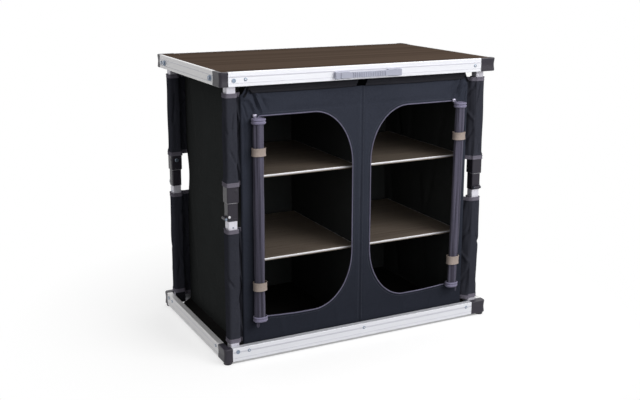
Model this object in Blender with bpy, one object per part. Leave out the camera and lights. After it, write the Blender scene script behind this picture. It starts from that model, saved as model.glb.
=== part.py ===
"""Fabric camp kitchen cupboard: two aluminium frames, four folding corner legs and a sewn fabric cabinet.

Metres, +Z up, the front towards -Y. The origin is the bottom centre of the box round the whole cupboard,
its carrying handle included. The cupboard is a pinwheel: its four sides are one design turned by quarters,
and so are its four legs. The leg at the start of a side is pivoted on that side's rail, and its knee folds
inwards along that rail, so the top frame comes straight down.
"""

import math

import bmesh
import bpy
import numpy as np
from mathutils import Matrix, Vector

# Overall size, over the corner caps
WIDTH = 0.900
DEPTH = 0.544
HEIGHT = 0.830

# Clearances
GAP = 0.0003
RUN_GAP = 0.0004
OVERRUN = 0.002
WELD = 0.00001

# Frame rails: one hollow aluminium extrusion, 40 mm high
RAIL_HEIGHT = 0.040
RAIL_THICK = 0.017
RAIL_WALL = 0.0016
RAIL_EDGE = 0.0012
GROOVE_WIDTH = 0.0014
GROOVE_DEPTH = 0.0006
GROOVE_HEIGHT_SHARES = (0.68, 0.24)
GROOVE_FLOOR_SHARE = 0.5

# Corner caps, with a short arm on the rail that holds the corner's leg
CAP_PROUD = 0.0015
CAP_HOLLOW = 0.0014
CAP_EDGE = 0.0010
CAP_ROUND = 0.009
CAP_SHORT = 0.025
CAP_LONG = 0.053
CAP_LEVEL_SHARES = (0.0, 0.05, 0.16, 0.3, 0.42, 0.5, 0.58, 0.7, 0.84, 0.95, 1.0)
TONGUE_LENGTH = 0.010

# Feet under the bottom caps
FOOT_HEIGHT = 0.008
FOOT_RADIUS = 0.0125
FOOT_NECK_RADIUS = 0.008
FOOT_EDGE = 0.0012
FOOT_INSET = 0.0148

# Boards
BOARD_THICK = 0.005
BOARD_SINK = 0.0004
BOARD_LIP = 0.008
BOARD_ROUND = 0.003
FLOOR_THICK = 0.006
FLOOR_CORNER = 0.066
LEDGE_WIDTH = 0.006
LEDGE_THICK = 0.0015
LEDGE_RISE = 0.0020

# Leg tubes
TUBE = 0.027
TUBE_WALL = 0.0014
TUBE_ROUND = 0.003
TUBE_PAST_PIVOT = 0.010
PIVOT_RISE = 0.028
PIVOT_DROP = 0.023

# Knee: a socket on the upper tube and a cap on the lower one, with a pin outside the tube
SOCKET_WALL = 0.0012
COLLAR_STEP = 0.0025
SOCKET_FLOOR = 0.0028
NARROW_HEIGHT = 0.0450
COLLAR_HEIGHT = 0.0610
SOCKET_ROUND = 0.0035
KNEE_CAP_THICK = 0.0075
KNEE_PLUG = 0.012
KNUCKLE_RADIUS = 0.0046
KNUCKLE_INNER = 0.0045
KNUCKLE_OUTER = 0.0120
PIN_RADIUS = 0.0018
PIN_HEAD_RADIUS = 0.0034
PIN_HEAD = 0.0012
BUTTON_RADIUS = 0.0060
BUTTON_PROUD = 0.0025
BUTTON_THICK = 0.0040
BUTTON_EDGE = 0.0008

# Pivot bolts through rail and tube, with a spacer between the two and a nut inside
BOLT_RADIUS = 0.0030
BOLT_HEAD_RADIUS = 0.0060
BOLT_HEAD = 0.0012
SPACER_RADIUS = 0.0065
NUT_RADIUS = 0.0055
NUT = 0.0040

# Room between the legs and the rails, for the knee collars when folded
LEG_CLEAR_OF_ITS_RAIL = 0.0005
LEG_CLEAR_OF_NEXT_RAIL = 0.0050

# Fabric cabinet
FABRIC = 0.002
CABINET_CLEAR_OF_LEG = 0.0235
CABINET_CLEAR_OF_FRONT_RAIL = 0.0105
CABINET_CLEAR_OF_REAR_RAIL = 0.0135
CABINET_ROUND = 0.004
OPENING_MARGIN = 0.039
OPENING_INNER = 0.030
OPENING_LOW = 0.111
OPENING_DROP = 0.128
OPENING_CORNER_WIDTH = 0.125
OPENING_CORNER_HEIGHT = 0.165
OPENING_OUTER_ROUND = 0.012

# Rolled doors, one at the outer edge of each opening
ROLL_WIDTH = 0.037
ROLL_DEPTH = 0.030
ROLL_SHORT_OF_OPENING_LOW = 0.001
ROLL_SHORT_OF_OPENING_TOP = 0.004
ROLL_CLOTH = 0.0022
ROLL_PITCH = 0.0029
ROLL_TURNS = 3

# Shelves, two in each half
SHELF_THICK = 0.008
SHELF_TOPS = (0.282, 0.528)
SHELF_CLEAR_OF_KNEE = 0.0015
SHELF_SIDE_GAP = 0.0005
SHELF_EDGE = 0.0006

# Carrying handle on the top front rail
HANDLE_HALF = 0.108
HANDLE_DROP = 0.025
BLOCK_LENGTH = 0.045
BLOCK_HEIGHT = 0.020
BLOCK_DEPTH = 0.012
BLOCK_EDGE = 0.0015
GRIP_HEIGHT = 0.016
GRIP_THICK = 0.005
GRIP_SEAT_DEPTH = 0.0033
GRIP_SEAT_LENGTH = 0.029
GRIP_BOW = 0.002
GRIP_FOOT = 0.0057
GRIP_FOOT_HEIGHT = 0.011
GRIP_FOOT_INSET = 0.007

# How finely curves are faceted
BOLT_SIDES = 12
ARC_STEPS = 3
OPENING_STEPS = 10
ROLL_STEPS = 20
BOW_STEPS = 12

# Worked out from the sizes above
NARROW = TUBE + 2 * (SOCKET_WALL + GAP)
COLLAR = NARROW + 2 * COLLAR_STEP
KNEE_OFFSET = NARROW / 2 + KNUCKLE_RADIUS + RUN_GAP
RAIL_INSIDE = CAP_PROUD + RAIL_THICK
LEG_ALONG = RAIL_INSIDE + COLLAR / 2 + LEG_CLEAR_OF_NEXT_RAIL
LEG_ACROSS = RAIL_INSIDE + COLLAR / 2 + LEG_CLEAR_OF_ITS_RAIL
LEG_TO_RAIL = LEG_ACROSS - RAIL_INSIDE
BOTTOM_Z = FOOT_HEIGHT
TOP_Z = HEIGHT - RAIL_HEIGHT
PIVOT_LOW_Z = BOTTOM_Z + PIVOT_RISE
PIVOT_HIGH_Z = HEIGHT - PIVOT_DROP
KNEE_Z = (PIVOT_LOW_Z + PIVOT_HIGH_Z) / 2
STEP_Z = KNEE_Z + NARROW_HEIGHT
COLLAR_TOP_Z = STEP_Z + COLLAR_HEIGHT
BUTTON_Z = (STEP_Z + COLLAR_TOP_Z) / 2
BOARD_UNDER_Z = HEIGHT - BOARD_SINK - BOARD_THICK
FLOOR_UNDER_Z = BOTTOM_Z + LEDGE_RISE + LEDGE_THICK + GAP
FLOOR_TOP_Z = FLOOR_UNDER_Z + FLOOR_THICK
HANDLE_Z = HEIGHT - HANDLE_DROP
CABINET_HALF = WIDTH / 2 - LEG_ALONG - TUBE / 2 - CABINET_CLEAR_OF_LEG
CABINET_FRONT = DEPTH / 2 - RAIL_INSIDE - CABINET_CLEAR_OF_FRONT_RAIL
CABINET_REAR = DEPTH / 2 - RAIL_INSIDE - CABINET_CLEAR_OF_REAR_RAIL
OPENING_OUTER = CABINET_HALF - OPENING_MARGIN
OPENING_HIGH = HEIGHT - OPENING_DROP
ROLL_LOW = OPENING_LOW + ROLL_SHORT_OF_OPENING_LOW
ROLL_HIGH = OPENING_HIGH - ROLL_SHORT_OF_OPENING_TOP
SHELF_HALF_DEPTH = DEPTH / 2 - LEG_ACROSS - COLLAR / 2 - SHELF_CLEAR_OF_KNEE
RAIL_FACE_Y = -DEPTH / 2 + CAP_PROUD
BLOCK_FRONT_Y = RAIL_FACE_Y - GAP - BLOCK_DEPTH
GRIP_BACK_Y = BLOCK_FRONT_Y + GRIP_SEAT_DEPTH
GRIP_FRONT_Y = GRIP_BACK_Y - GRIP_THICK - GRIP_BOW
CENTRE_Y = (-GRIP_FRONT_Y - DEPTH / 2) / 2

SIDES = ("front", "right", "rear", "left")
CORNERS = ("front_left", "front_right", "rear_right", "rear_left")

# Finishes: colour, roughness, metallic
ALUMINIUM = ((0.80, 0.81, 0.83), 0.38, 0.9)
BRIGHT_METAL = ((0.85, 0.85, 0.86), 0.22, 1.0)
CHARCOAL_PLASTIC = ((0.055, 0.055, 0.065), 0.50, 0.0)
BLACK_PLASTIC = ((0.015, 0.015, 0.017), 0.45, 0.0)
GREY_PLASTIC = ((0.38, 0.39, 0.43), 0.42, 0.0)
BROWN_LAMINATE = ((0.075, 0.055, 0.042), 0.45, 0.0)
DARK_BOARD = ((0.02, 0.02, 0.02), 0.60, 0.0)
SLATE_FABRIC = ((0.025, 0.028, 0.036), 0.85, 0.0)
DOOR_FABRIC = ((0.075, 0.068, 0.095), 0.80, 0.0)


# Scene helpers


def clear_scene():
    """Remove every object and mesh that the file opened with."""
    for old in list(bpy.data.objects):
        bpy.data.objects.remove(old, do_unlink=True)
    for mesh in list(bpy.data.meshes):
        bpy.data.meshes.remove(mesh)


def make_material(name, finish):
    """A Principled material with one colour, roughness and metallic value."""
    colour, roughness, metallic = finish
    material = bpy.data.materials.new(name)
    material.use_nodes = True
    shader = material.node_tree.nodes["Principled BSDF"]
    shader.inputs["Base Color"].default_value = (*colour, 1.0)
    shader.inputs["Roughness"].default_value = roughness
    shader.inputs["Metallic"].default_value = metallic
    material.diffuse_color = (*colour, 1.0)
    return material


def make_empty(name, place, parent=None):
    """An empty at a place in the cupboard's own frame, to carry pieces."""
    empty = bpy.data.objects.new(name, None)
    bpy.context.scene.collection.objects.link(empty)
    empty.parent = parent
    empty.location = Vector(place)
    return empty


def quarter_frame(quarter, along, across):
    """The frame that stands at a corner: X runs along the corner's own rail, Y inwards from it."""
    length = WIDTH if quarter % 2 == 0 else DEPTH
    width = DEPTH if quarter % 2 == 0 else WIDTH
    turn = Matrix.Rotation(quarter * math.pi / 2, 4, "Z")
    return turn @ Matrix.Translation((along - length / 2, across - width / 2, 0))


def add_piece(name, mesh, finish, carrier, frame=None, origin=(0, 0, 0)):
    """One piece: its mesh is drawn in a frame, and its origin is a point of that frame."""
    frame = frame or Matrix.Identity(4)
    origin = Vector(origin)
    mesh.transform(Matrix.Translation(-origin))
    mesh.name = name
    mesh.shade_smooth()
    mesh.set_sharp_from_angle(angle=math.radians(35))
    mesh.materials.clear()
    mesh.materials.append(make_material(name, finish))
    piece = bpy.data.objects.new(name, mesh)
    bpy.context.scene.collection.objects.link(piece)
    piece.parent = carrier
    place = frame @ origin
    if carrier.parent:
        place = place - carrier.location
    piece.location = place
    piece.rotation_euler = frame.to_euler()
    return piece


# Mesh helpers


def closed_mesh(points, faces):
    """A mesh whose faces all point out."""
    mesh = bpy.data.meshes.new("shape")
    mesh.from_pydata([tuple(point) for point in points], [], faces)
    shape = bmesh.new()
    shape.from_mesh(mesh)
    bmesh.ops.remove_doubles(shape, verts=shape.verts, dist=WELD)
    bmesh.ops.recalc_face_normals(shape, faces=shape.faces)
    shape.to_mesh(mesh)
    shape.free()
    return mesh


def stack(outlines):
    """A body through a row of outlines that have the same number of points."""
    count = len(outlines[0])
    points = np.concatenate([np.asarray(outline, float) for outline in outlines])
    faces = [list(range(count)), [len(points) - count + i for i in range(count)]]
    for level in range(len(outlines) - 1):
        for i in range(count):
            near = level * count
            far = near + count
            after = (i + 1) % count
            faces.append([near + i, near + after, far + after, far + i])
    return closed_mesh(points, faces)


def prism(outline, low, high, axis):
    """An outline in the two other axes, in X, Y, Z order, carried along one axis."""
    rest = [i for i in range(3) if i != axis]
    outline = np.asarray(outline, float)
    ends = []
    for level in (low, high):
        points = np.zeros((len(outline), 3))
        points[:, rest] = outline
        points[:, axis] = level
        ends.append(points)
    return stack(ends)


def block(low, high, edge=0.0):
    """A box between two corners, its edges rounded off."""
    outline = [(low[0], low[1]), (high[0], low[1]), (high[0], high[1]), (low[0], high[1])]
    mesh = prism(outline, low[2], high[2], 2)
    if edge:
        shape = bmesh.new()
        shape.from_mesh(mesh)
        bmesh.ops.bevel(shape, geom=shape.edges, offset=edge, segments=2, profile=0.5, affect="EDGES")
        shape.to_mesh(mesh)
        shape.free()
    return mesh


def turned(profile, axis, centre, sides=BOLT_SIDES):
    """A body turned round a line along one axis. The profile is a row of (place on the axis, radius)."""
    rest = [i for i in range(3) if i != axis]
    angles = np.arange(sides) * 2 * math.pi / sides
    rings = []
    for place, radius in profile:
        ring = np.zeros((sides, 3))
        ring[:, rest[0]] = centre[rest[0]] + radius * np.cos(angles)
        ring[:, rest[1]] = centre[rest[1]] + radius * np.sin(angles)
        ring[:, axis] = centre[axis] + place
        rings.append(ring)
    return stack(rings)


def rod(axis, centre, low, high, radius):
    """A plain round rod along one axis."""
    return turned([(low, radius), (high, radius)], axis, centre)


def arc(centre, radii, start, end, steps):
    """Points on part of an ellipse, with both ends."""
    angles = np.radians(np.linspace(start, end, steps + 1))
    return [(centre[0] + radii[0] * math.cos(a), centre[1] + radii[1] * math.sin(a)) for a in angles]


def rounded_rectangle(low, high, radius):
    """A rectangle's outline with round corners."""
    centres = (
        (high[0] - radius, high[1] - radius),
        (low[0] + radius, high[1] - radius),
        (low[0] + radius, low[1] + radius),
        (high[0] - radius, low[1] + radius),
    )
    outline = []
    for quarter, centre in enumerate(centres):
        outline += arc(centre, (radius, radius), 90 * quarter, 90 * quarter + 90, ARC_STEPS)
    return outline


def rounded_square(side, radius):
    """A square's outline with round corners, round the origin."""
    return rounded_rectangle((-side / 2, -side / 2), (side / 2, side / 2), radius)


def shaped(mesh, joined=(), cut=()):
    """A mesh with others joined to it, and then others cut out of it."""
    base = bpy.data.objects.new("base", mesh)
    bpy.context.scene.collection.objects.link(base)
    tools = []
    for others, operation in ((joined, "UNION"), (cut, "DIFFERENCE")):
        for other in others:
            tool = bpy.data.objects.new("tool", other)
            bpy.context.scene.collection.objects.link(tool)
            modifier = base.modifiers.new("shape", "BOOLEAN")
            modifier.operation = operation
            modifier.solver = "EXACT"
            modifier.object = tool
            tools.append(tool)
    bpy.context.view_layer.update()
    depsgraph = bpy.context.evaluated_depsgraph_get()
    result = bpy.data.meshes.new_from_object(base.evaluated_get(depsgraph))
    for helper in [base, *tools]:
        bpy.data.objects.remove(helper, do_unlink=True)
    return result


# Frames


def hollow(level_z):
    """The rail's inner hollow, from low to high corner of (across, z), measured from its outer face."""
    roof = BOARD_UNDER_Z - GAP if level_z == TOP_Z else level_z + RAIL_HEIGHT
    return (RAIL_WALL, level_z + RAIL_WALL), (RAIL_THICK - RAIL_WALL, roof - RAIL_WALL)


def rail_outline(level_z):
    """The rail's section as (across from its outer face, z), with the grooves of its outer face."""
    low = level_z
    high = level_z + RAIL_HEIGHT
    outline = [(RAIL_THICK, low)]
    if level_z == BOTTOM_Z:
        ledge = low + LEDGE_RISE
        outline.append((RAIL_THICK, ledge))
        outline.append((RAIL_THICK + LEDGE_WIDTH, ledge))
        outline.append((RAIL_THICK + LEDGE_WIDTH, ledge + LEDGE_THICK))
        outline.append((RAIL_THICK, ledge + LEDGE_THICK))
    outline.append((RAIL_THICK, high))
    outline += arc((RAIL_EDGE, high - RAIL_EDGE), (RAIL_EDGE, RAIL_EDGE), 90, 180, ARC_STEPS)
    for share in GROOVE_HEIGHT_SHARES:
        middle = low + share * RAIL_HEIGHT
        lip = GROOVE_WIDTH / 2
        floor = lip * GROOVE_FLOOR_SHARE
        outline.append((0.0, middle + lip))
        outline.append((GROOVE_DEPTH, middle + floor))
        outline.append((GROOVE_DEPTH, middle - floor))
        outline.append((0.0, middle - lip))
    outline += arc((RAIL_EDGE, low + RAIL_EDGE), (RAIL_EDGE, RAIL_EDGE), 180, 270, ARC_STEPS)
    return outline


def board_seat():
    """The room that the table board and its gap take out of the top frame."""
    half_x = WIDTH / 2 - CAP_PROUD - BOARD_LIP
    half_y = DEPTH / 2 - CAP_PROUD - BOARD_LIP
    outline = rounded_rectangle((-half_x, -half_y), (half_x, half_y), BOARD_ROUND + GAP)
    return prism(outline, BOARD_UNDER_Z - GAP, HEIGHT + OVERRUN, 2)


def moved(mesh, matrix):
    """The same mesh, carried by a matrix."""
    mesh.transform(matrix)
    return mesh


def make_rail(quarter, level_z, pivot_z):
    """A rail from its own corner's cap to the next one, with the holes of its leg's pivot bolt."""
    length = WIDTH if quarter % 2 == 0 else DEPTH
    start = CAP_SHORT + GAP
    end = length - CAP_LONG - GAP
    outline = [(CAP_PROUD + across, z) for across, z in rail_outline(level_z)]
    low, high = hollow(level_z)
    inside = block(
        (start - OVERRUN, CAP_PROUD + low[0], low[1]),
        (end + OVERRUN, CAP_PROUD + high[0], high[1]),
    )
    hole = rod(1, (LEG_ALONG, 0, pivot_z), -OVERRUN, RAIL_INSIDE + OVERRUN, BOLT_RADIUS + RUN_GAP)
    cuts = [inside, hole]
    if level_z == TOP_Z:
        back = quarter_frame(quarter, 0, 0).inverted()
        cuts.append(moved(board_seat(), back))
    return shaped(prism(outline, start, end, 0), cut=cuts)


def cap_inset(share):
    """How far the cap's face lies inside the outer box at a share of its height: full at both ends,
    hollow in the middle, with a rounded edge at top and bottom."""
    edge = CAP_EDGE if share in (CAP_LEVEL_SHARES[0], CAP_LEVEL_SHARES[-1]) else 0.0
    return edge + CAP_HOLLOW * math.sin(math.pi * share) ** 2


def cap_outline(share, level_z):
    """The cap's plan at a share of its height: an L round the corner, its outer corner rounded."""
    inset = cap_inset(share)
    z = level_z + share * RAIL_HEIGHT
    centre = (inset + CAP_ROUND, inset + CAP_ROUND)
    plan = arc(centre, (CAP_ROUND, CAP_ROUND), 270, 180, 2 * ARC_STEPS)
    plan += [
        (inset, CAP_LONG),
        (RAIL_INSIDE, CAP_LONG),
        (RAIL_INSIDE, RAIL_INSIDE),
        (CAP_SHORT, RAIL_INSIDE),
        (CAP_SHORT, inset),
    ]
    return [(x, y, z) for x, y in plan]


def cap_tongue(level_z, along_own_rail):
    """The tongue that a cap puts into a rail's hollow."""
    low, high = hollow(level_z)
    near = CAP_PROUD + low[0] + GAP
    far = CAP_PROUD + high[0] - GAP
    if along_own_rail:
        span = (CAP_SHORT - OVERRUN, CAP_SHORT + TONGUE_LENGTH)
        return block((span[0], near, low[1] + GAP), (span[1], far, high[1] - GAP))
    span = (CAP_LONG - OVERRUN, CAP_LONG + TONGUE_LENGTH)
    return block((near, span[0], low[1] + GAP), (far, span[1], high[1] - GAP))


def make_foot():
    """A round foot under a cap, on a narrower neck that clears the rails."""
    profile = [
        (0.0, FOOT_RADIUS - FOOT_EDGE),
        (FOOT_EDGE, FOOT_RADIUS),
        (FOOT_HEIGHT - GAP, FOOT_RADIUS),
        (FOOT_HEIGHT - GAP, FOOT_NECK_RADIUS),
        (FOOT_HEIGHT + OVERRUN, FOOT_NECK_RADIUS),
    ]
    return turned(profile, 2, (FOOT_INSET, FOOT_INSET, 0), 2 * BOLT_SIDES)


def make_cap(quarter, level_z):
    """A corner cap with its two tongues, and a foot below or the board's seat above."""
    body = stack([cap_outline(share, level_z) for share in CAP_LEVEL_SHARES])
    joined = [cap_tongue(level_z, True), cap_tongue(level_z, False)]
    cuts = []
    if level_z == BOTTOM_Z:
        joined.append(make_foot())
    else:
        back = quarter_frame(quarter, 0, 0).inverted()
        cuts.append(moved(board_seat(), back))
    return shaped(body, joined, cuts)


def make_pivot_bolt(pivot_z):
    """A turned bolt: head, shank in the rail, spacer, shank in the tube, nut."""
    rail_out = -LEG_TO_RAIL - RAIL_THICK
    tube_face = TUBE / 2 + GAP
    steps = (
        (rail_out - GAP - BOLT_HEAD, rail_out - GAP, BOLT_HEAD_RADIUS),
        (rail_out - GAP, -LEG_TO_RAIL + GAP, BOLT_RADIUS),
        (-LEG_TO_RAIL + GAP, -tube_face, SPACER_RADIUS),
        (-tube_face, tube_face, BOLT_RADIUS),
        (tube_face, tube_face + NUT, NUT_RADIUS),
    )
    profile = []
    for start, end, radius in steps:
        profile += [(start, radius), (end, radius)]
    return turned(profile, 1, (0, 0, pivot_z))


def make_floor_board():
    """The board between the bottom rails, its corners cut off round the legs."""
    half_x = WIDTH / 2 - RAIL_INSIDE - GAP
    half_y = DEPTH / 2 - RAIL_INSIDE - GAP
    outline = []
    for turn_x, turn_y in ((1, 1), (-1, 1), (-1, -1), (1, -1)):
        near = (turn_x * half_x, turn_y * (half_y - FLOOR_CORNER))
        far = (turn_x * (half_x - FLOOR_CORNER), turn_y * half_y)
        outline += [near, far] if turn_x == turn_y else [far, near]
    return prism(outline, FLOOR_UNDER_Z, FLOOR_TOP_Z, 2)


def make_table_board():
    """The table board, which lies in the top frame's seat."""
    half_x = WIDTH / 2 - CAP_PROUD - BOARD_LIP - GAP
    half_y = DEPTH / 2 - CAP_PROUD - BOARD_LIP - GAP
    outline = rounded_rectangle((-half_x, -half_y), (half_x, half_y), BOARD_ROUND)
    return prism(outline, BOARD_UNDER_Z, HEIGHT - BOARD_SINK, 2)


def add_frame(name, level_z, pivot_z, carrier):
    """One frame: four rails, four corner caps and four pivot bolts."""
    for quarter in range(4):
        frame = quarter_frame(quarter, 0, 0)
        leg_frame = quarter_frame(quarter, LEG_ALONG, LEG_ACROSS)
        rail = make_rail(quarter, level_z, pivot_z)
        add_piece(f"{name}_rail_{SIDES[quarter]}", rail, ALUMINIUM, carrier, frame)
        cap = make_cap(quarter, level_z)
        add_piece(f"{name}_cap_{CORNERS[quarter]}", cap, CHARCOAL_PLASTIC, carrier, frame)
        bolt = make_pivot_bolt(pivot_z)
        bolt_name = f"{name}_pivot_bolt_{CORNERS[quarter]}"
        add_piece(bolt_name, bolt, BRIGHT_METAL, carrier, leg_frame, (0, 0, pivot_z))


# Legs, drawn round the tube's own axis: X inwards along the rail, the way that the knee folds


def make_tube(low, high, pivot_z):
    """A square tube with the holes of its pivot bolt."""
    inside = prism(
        rounded_square(TUBE - 2 * TUBE_WALL, TUBE_ROUND - TUBE_WALL), low - OVERRUN, high + OVERRUN, 2
    )
    hole = rod(1, (0, 0, pivot_z), -TUBE, TUBE, BOLT_RADIUS + RUN_GAP)
    return shaped(prism(rounded_square(TUBE, TUBE_ROUND), low, high, 2), cut=[inside, hole])


def pin_hole():
    """The hole of the knee pin, through every knuckle."""
    return rod(1, (-KNEE_OFFSET, 0, KNEE_Z), -COLLAR, COLLAR, PIN_RADIUS + RUN_GAP)


def knuckle(low, high, web_low, web_high):
    """One knuckle of the knee hinge between two places along the pin, and the web that carries it."""
    barrel = rod(1, (-KNEE_OFFSET, 0, KNEE_Z), low, high, KNUCKLE_RADIUS)
    web = block(
        (-KNEE_OFFSET, low, KNEE_Z + web_low),
        (-NARROW / 2 + SOCKET_WALL / 2, high, KNEE_Z + web_high),
    )
    return [barrel, web]


def make_knee_cap():
    """The lower tube's cap: a plate on the tube's end, a plug in it and the middle knuckle."""
    split = KNEE_Z - GAP / 2
    plate_low = KNEE_Z - KNEE_CAP_THICK
    plug_side = TUBE - 2 * (TUBE_WALL + GAP)
    plug_round = TUBE_ROUND - TUBE_WALL
    plug = prism(rounded_square(plug_side, plug_round), plate_low - KNEE_PLUG, plate_low + OVERRUN, 2)
    middle = knuckle(-KNUCKLE_INNER, KNUCKLE_INNER, -KNUCKLE_RADIUS, -GAP / 2)
    plate = prism(rounded_square(NARROW, SOCKET_ROUND), plate_low, split, 2)
    return shaped(plate, [plug, *middle], [pin_hole()])


def make_knee_socket():
    """The upper tube's socket: narrow housing, wide collar, two outer knuckles and the button's hole."""
    floor = KNEE_Z + GAP / 2
    narrow = prism(rounded_square(NARROW, SOCKET_ROUND), floor, STEP_Z + OVERRUN, 2)
    collar = prism(rounded_square(COLLAR, SOCKET_ROUND), STEP_Z, COLLAR_TOP_Z, 2)
    start = KNUCKLE_INNER + GAP
    right = knuckle(start, KNUCKLE_OUTER, GAP / 2, KNUCKLE_RADIUS)
    left = knuckle(-KNUCKLE_OUTER, -start, GAP / 2, KNUCKLE_RADIUS)
    seat_side = TUBE + 2 * GAP
    seat = prism(rounded_square(seat_side, TUBE_ROUND), floor + SOCKET_FLOOR, COLLAR_TOP_Z + OVERRUN, 2)
    button_hole = rod(0, (0, 0, BUTTON_Z), TUBE / 2, COLLAR / 2 + OVERRUN, BUTTON_RADIUS + RUN_GAP)
    return shaped(narrow, [collar, *right, *left], [seat, pin_hole(), button_hole])


def make_knee_pin():
    """The pin through the three knuckles, with a rivet head at each end."""
    head = KNUCKLE_OUTER + GAP
    profile = [
        (-head - PIN_HEAD, PIN_HEAD_RADIUS),
        (-head, PIN_HEAD_RADIUS),
        (-head, PIN_RADIUS),
        (head, PIN_RADIUS),
        (head, PIN_HEAD_RADIUS),
        (head + PIN_HEAD, PIN_HEAD_RADIUS),
    ]
    return turned(profile, 1, (-KNEE_OFFSET, 0, KNEE_Z))


def make_release_button():
    """The round button in the collar's inner face."""
    face = COLLAR / 2 + BUTTON_PROUD
    profile = [
        (face - BUTTON_THICK, BUTTON_RADIUS),
        (face - BUTTON_EDGE, BUTTON_RADIUS),
        (face, BUTTON_RADIUS - BUTTON_EDGE),
    ]
    return turned(profile, 0, (0, 0, BUTTON_Z))


def add_leg(quarter, carrier):
    """One folding leg. Lower pieces have their origin on the bottom pivot, upper ones on the knee pin."""
    name = f"leg_{CORNERS[quarter]}"
    frame = quarter_frame(quarter, LEG_ALONG, LEG_ACROSS)
    foot = (0, 0, PIVOT_LOW_Z)
    knee = (-KNEE_OFFSET, 0, KNEE_Z)
    lower_top = KNEE_Z - KNEE_CAP_THICK - GAP
    upper_low = KNEE_Z + GAP / 2 + SOCKET_FLOOR + GAP
    lower = make_tube(PIVOT_LOW_Z - TUBE_PAST_PIVOT, lower_top, PIVOT_LOW_Z)
    upper = make_tube(upper_low, PIVOT_HIGH_Z + TUBE_PAST_PIVOT, PIVOT_HIGH_Z)
    add_piece(f"{name}_lower_tube", lower, ALUMINIUM, carrier, frame, foot)
    add_piece(f"{name}_knee_cap", make_knee_cap(), BLACK_PLASTIC, carrier, frame, foot)
    add_piece(f"{name}_upper_tube", upper, ALUMINIUM, carrier, frame, knee)
    add_piece(f"{name}_knee_socket", make_knee_socket(), BLACK_PLASTIC, carrier, frame, knee)
    add_piece(f"{name}_knee_pin", make_knee_pin(), BRIGHT_METAL, carrier, frame, knee)
    button = make_release_button()
    add_piece(f"{name}_release_button", button, BRIGHT_METAL, carrier, frame, (0, 0, BUTTON_Z))


# Fabric cabinet, doors and shelves


def opening_outline(side):
    """A D-shaped opening as (x, z): straight at its outer edge, with wide round corners at its inner one.
    Side is 1 for the right half and -1 for the left one."""
    width = OPENING_CORNER_WIDTH
    height = OPENING_CORNER_HEIGHT
    edge = OPENING_OUTER_ROUND
    steps = OPENING_STEPS
    inner = OPENING_INNER + width
    outer = OPENING_OUTER - edge
    outline = arc((inner, OPENING_HIGH - height), (width, height), 180, 90, steps)
    outline += arc((outer, OPENING_HIGH - edge), (edge, edge), 90, 0, ARC_STEPS)
    outline += arc((outer, OPENING_LOW + edge), (edge, edge), 0, -90, ARC_STEPS)
    outline += arc((inner, OPENING_LOW + height), (width, height), 270, 180, steps)
    return [(side * x, z) for x, z in outline]


def make_cabinet():
    """The sewn cabinet as one solid: side and rear walls, a middle wall and the front with its openings."""
    half = CABINET_HALF
    low = FLOOR_TOP_Z + GAP
    high = BOARD_UNDER_Z - GAP
    outline = rounded_rectangle((-half, -CABINET_FRONT), (half, CABINET_REAR), CABINET_ROUND)
    cuts = []
    for side in (-1, 1):
        near = side * FABRIC / 2
        far = side * (half - FABRIC)
        corner_low = (min(near, far), -CABINET_FRONT + FABRIC, low - OVERRUN)
        corner_high = (max(near, far), CABINET_REAR - FABRIC, high + OVERRUN)
        cuts.append(block(corner_low, corner_high))
        outer_y = -CABINET_FRONT - OVERRUN
        inner_y = -CABINET_FRONT + FABRIC + OVERRUN
        cuts.append(prism(opening_outline(side), outer_y, inner_y, 1))
    return shaped(prism(outline, low, high, 2), cut=cuts)


def roll_outline(side):
    """A cloth wound up as a spiral, seen from above: out along its outer face, back along its inner one."""
    centre_y = -CABINET_FRONT - GAP - ROLL_DEPTH / 2
    angles = np.linspace(0, 2 * math.pi * ROLL_TURNS, ROLL_TURNS * ROLL_STEPS + 1)
    outer = ROLL_WIDTH / 2 - ROLL_PITCH * angles / (2 * math.pi)
    inner = outer - ROLL_CLOTH
    reach = np.concatenate([outer, inner[::-1]])
    angle = np.concatenate([angles, angles[::-1]])
    x = side * (OPENING_OUTER + reach * np.cos(angle))
    y = centre_y + reach * np.sin(angle) * ROLL_DEPTH / ROLL_WIDTH
    return np.stack([x, y], axis=1)


def make_shelf(side, top):
    """A shelf board in one half of the cabinet."""
    near = side * (FABRIC / 2 + SHELF_SIDE_GAP)
    far = side * (CABINET_HALF - FABRIC - SHELF_SIDE_GAP)
    low = (min(near, far), -SHELF_HALF_DEPTH, top - SHELF_THICK)
    high = (max(near, far), SHELF_HALF_DEPTH, top)
    return block(low, high, SHELF_EDGE)


def add_cabinet(carrier):
    """The fabric cabinet with its rolled doors and shelves."""
    add_piece("fabric_cabinet", make_cabinet(), SLATE_FABRIC, carrier)
    for side, half in ((-1, "left"), (1, "right")):
        roll = prism(roll_outline(side), ROLL_LOW, ROLL_HIGH, 2)
        add_piece(f"rolled_door_{half}", roll, DOOR_FABRIC, carrier)
        for top, level in zip(SHELF_TOPS, ("lower", "upper")):
            add_piece(f"shelf_{level}_{half}", make_shelf(side, top), BROWN_LAMINATE, carrier)


# Carrying handle


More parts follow.
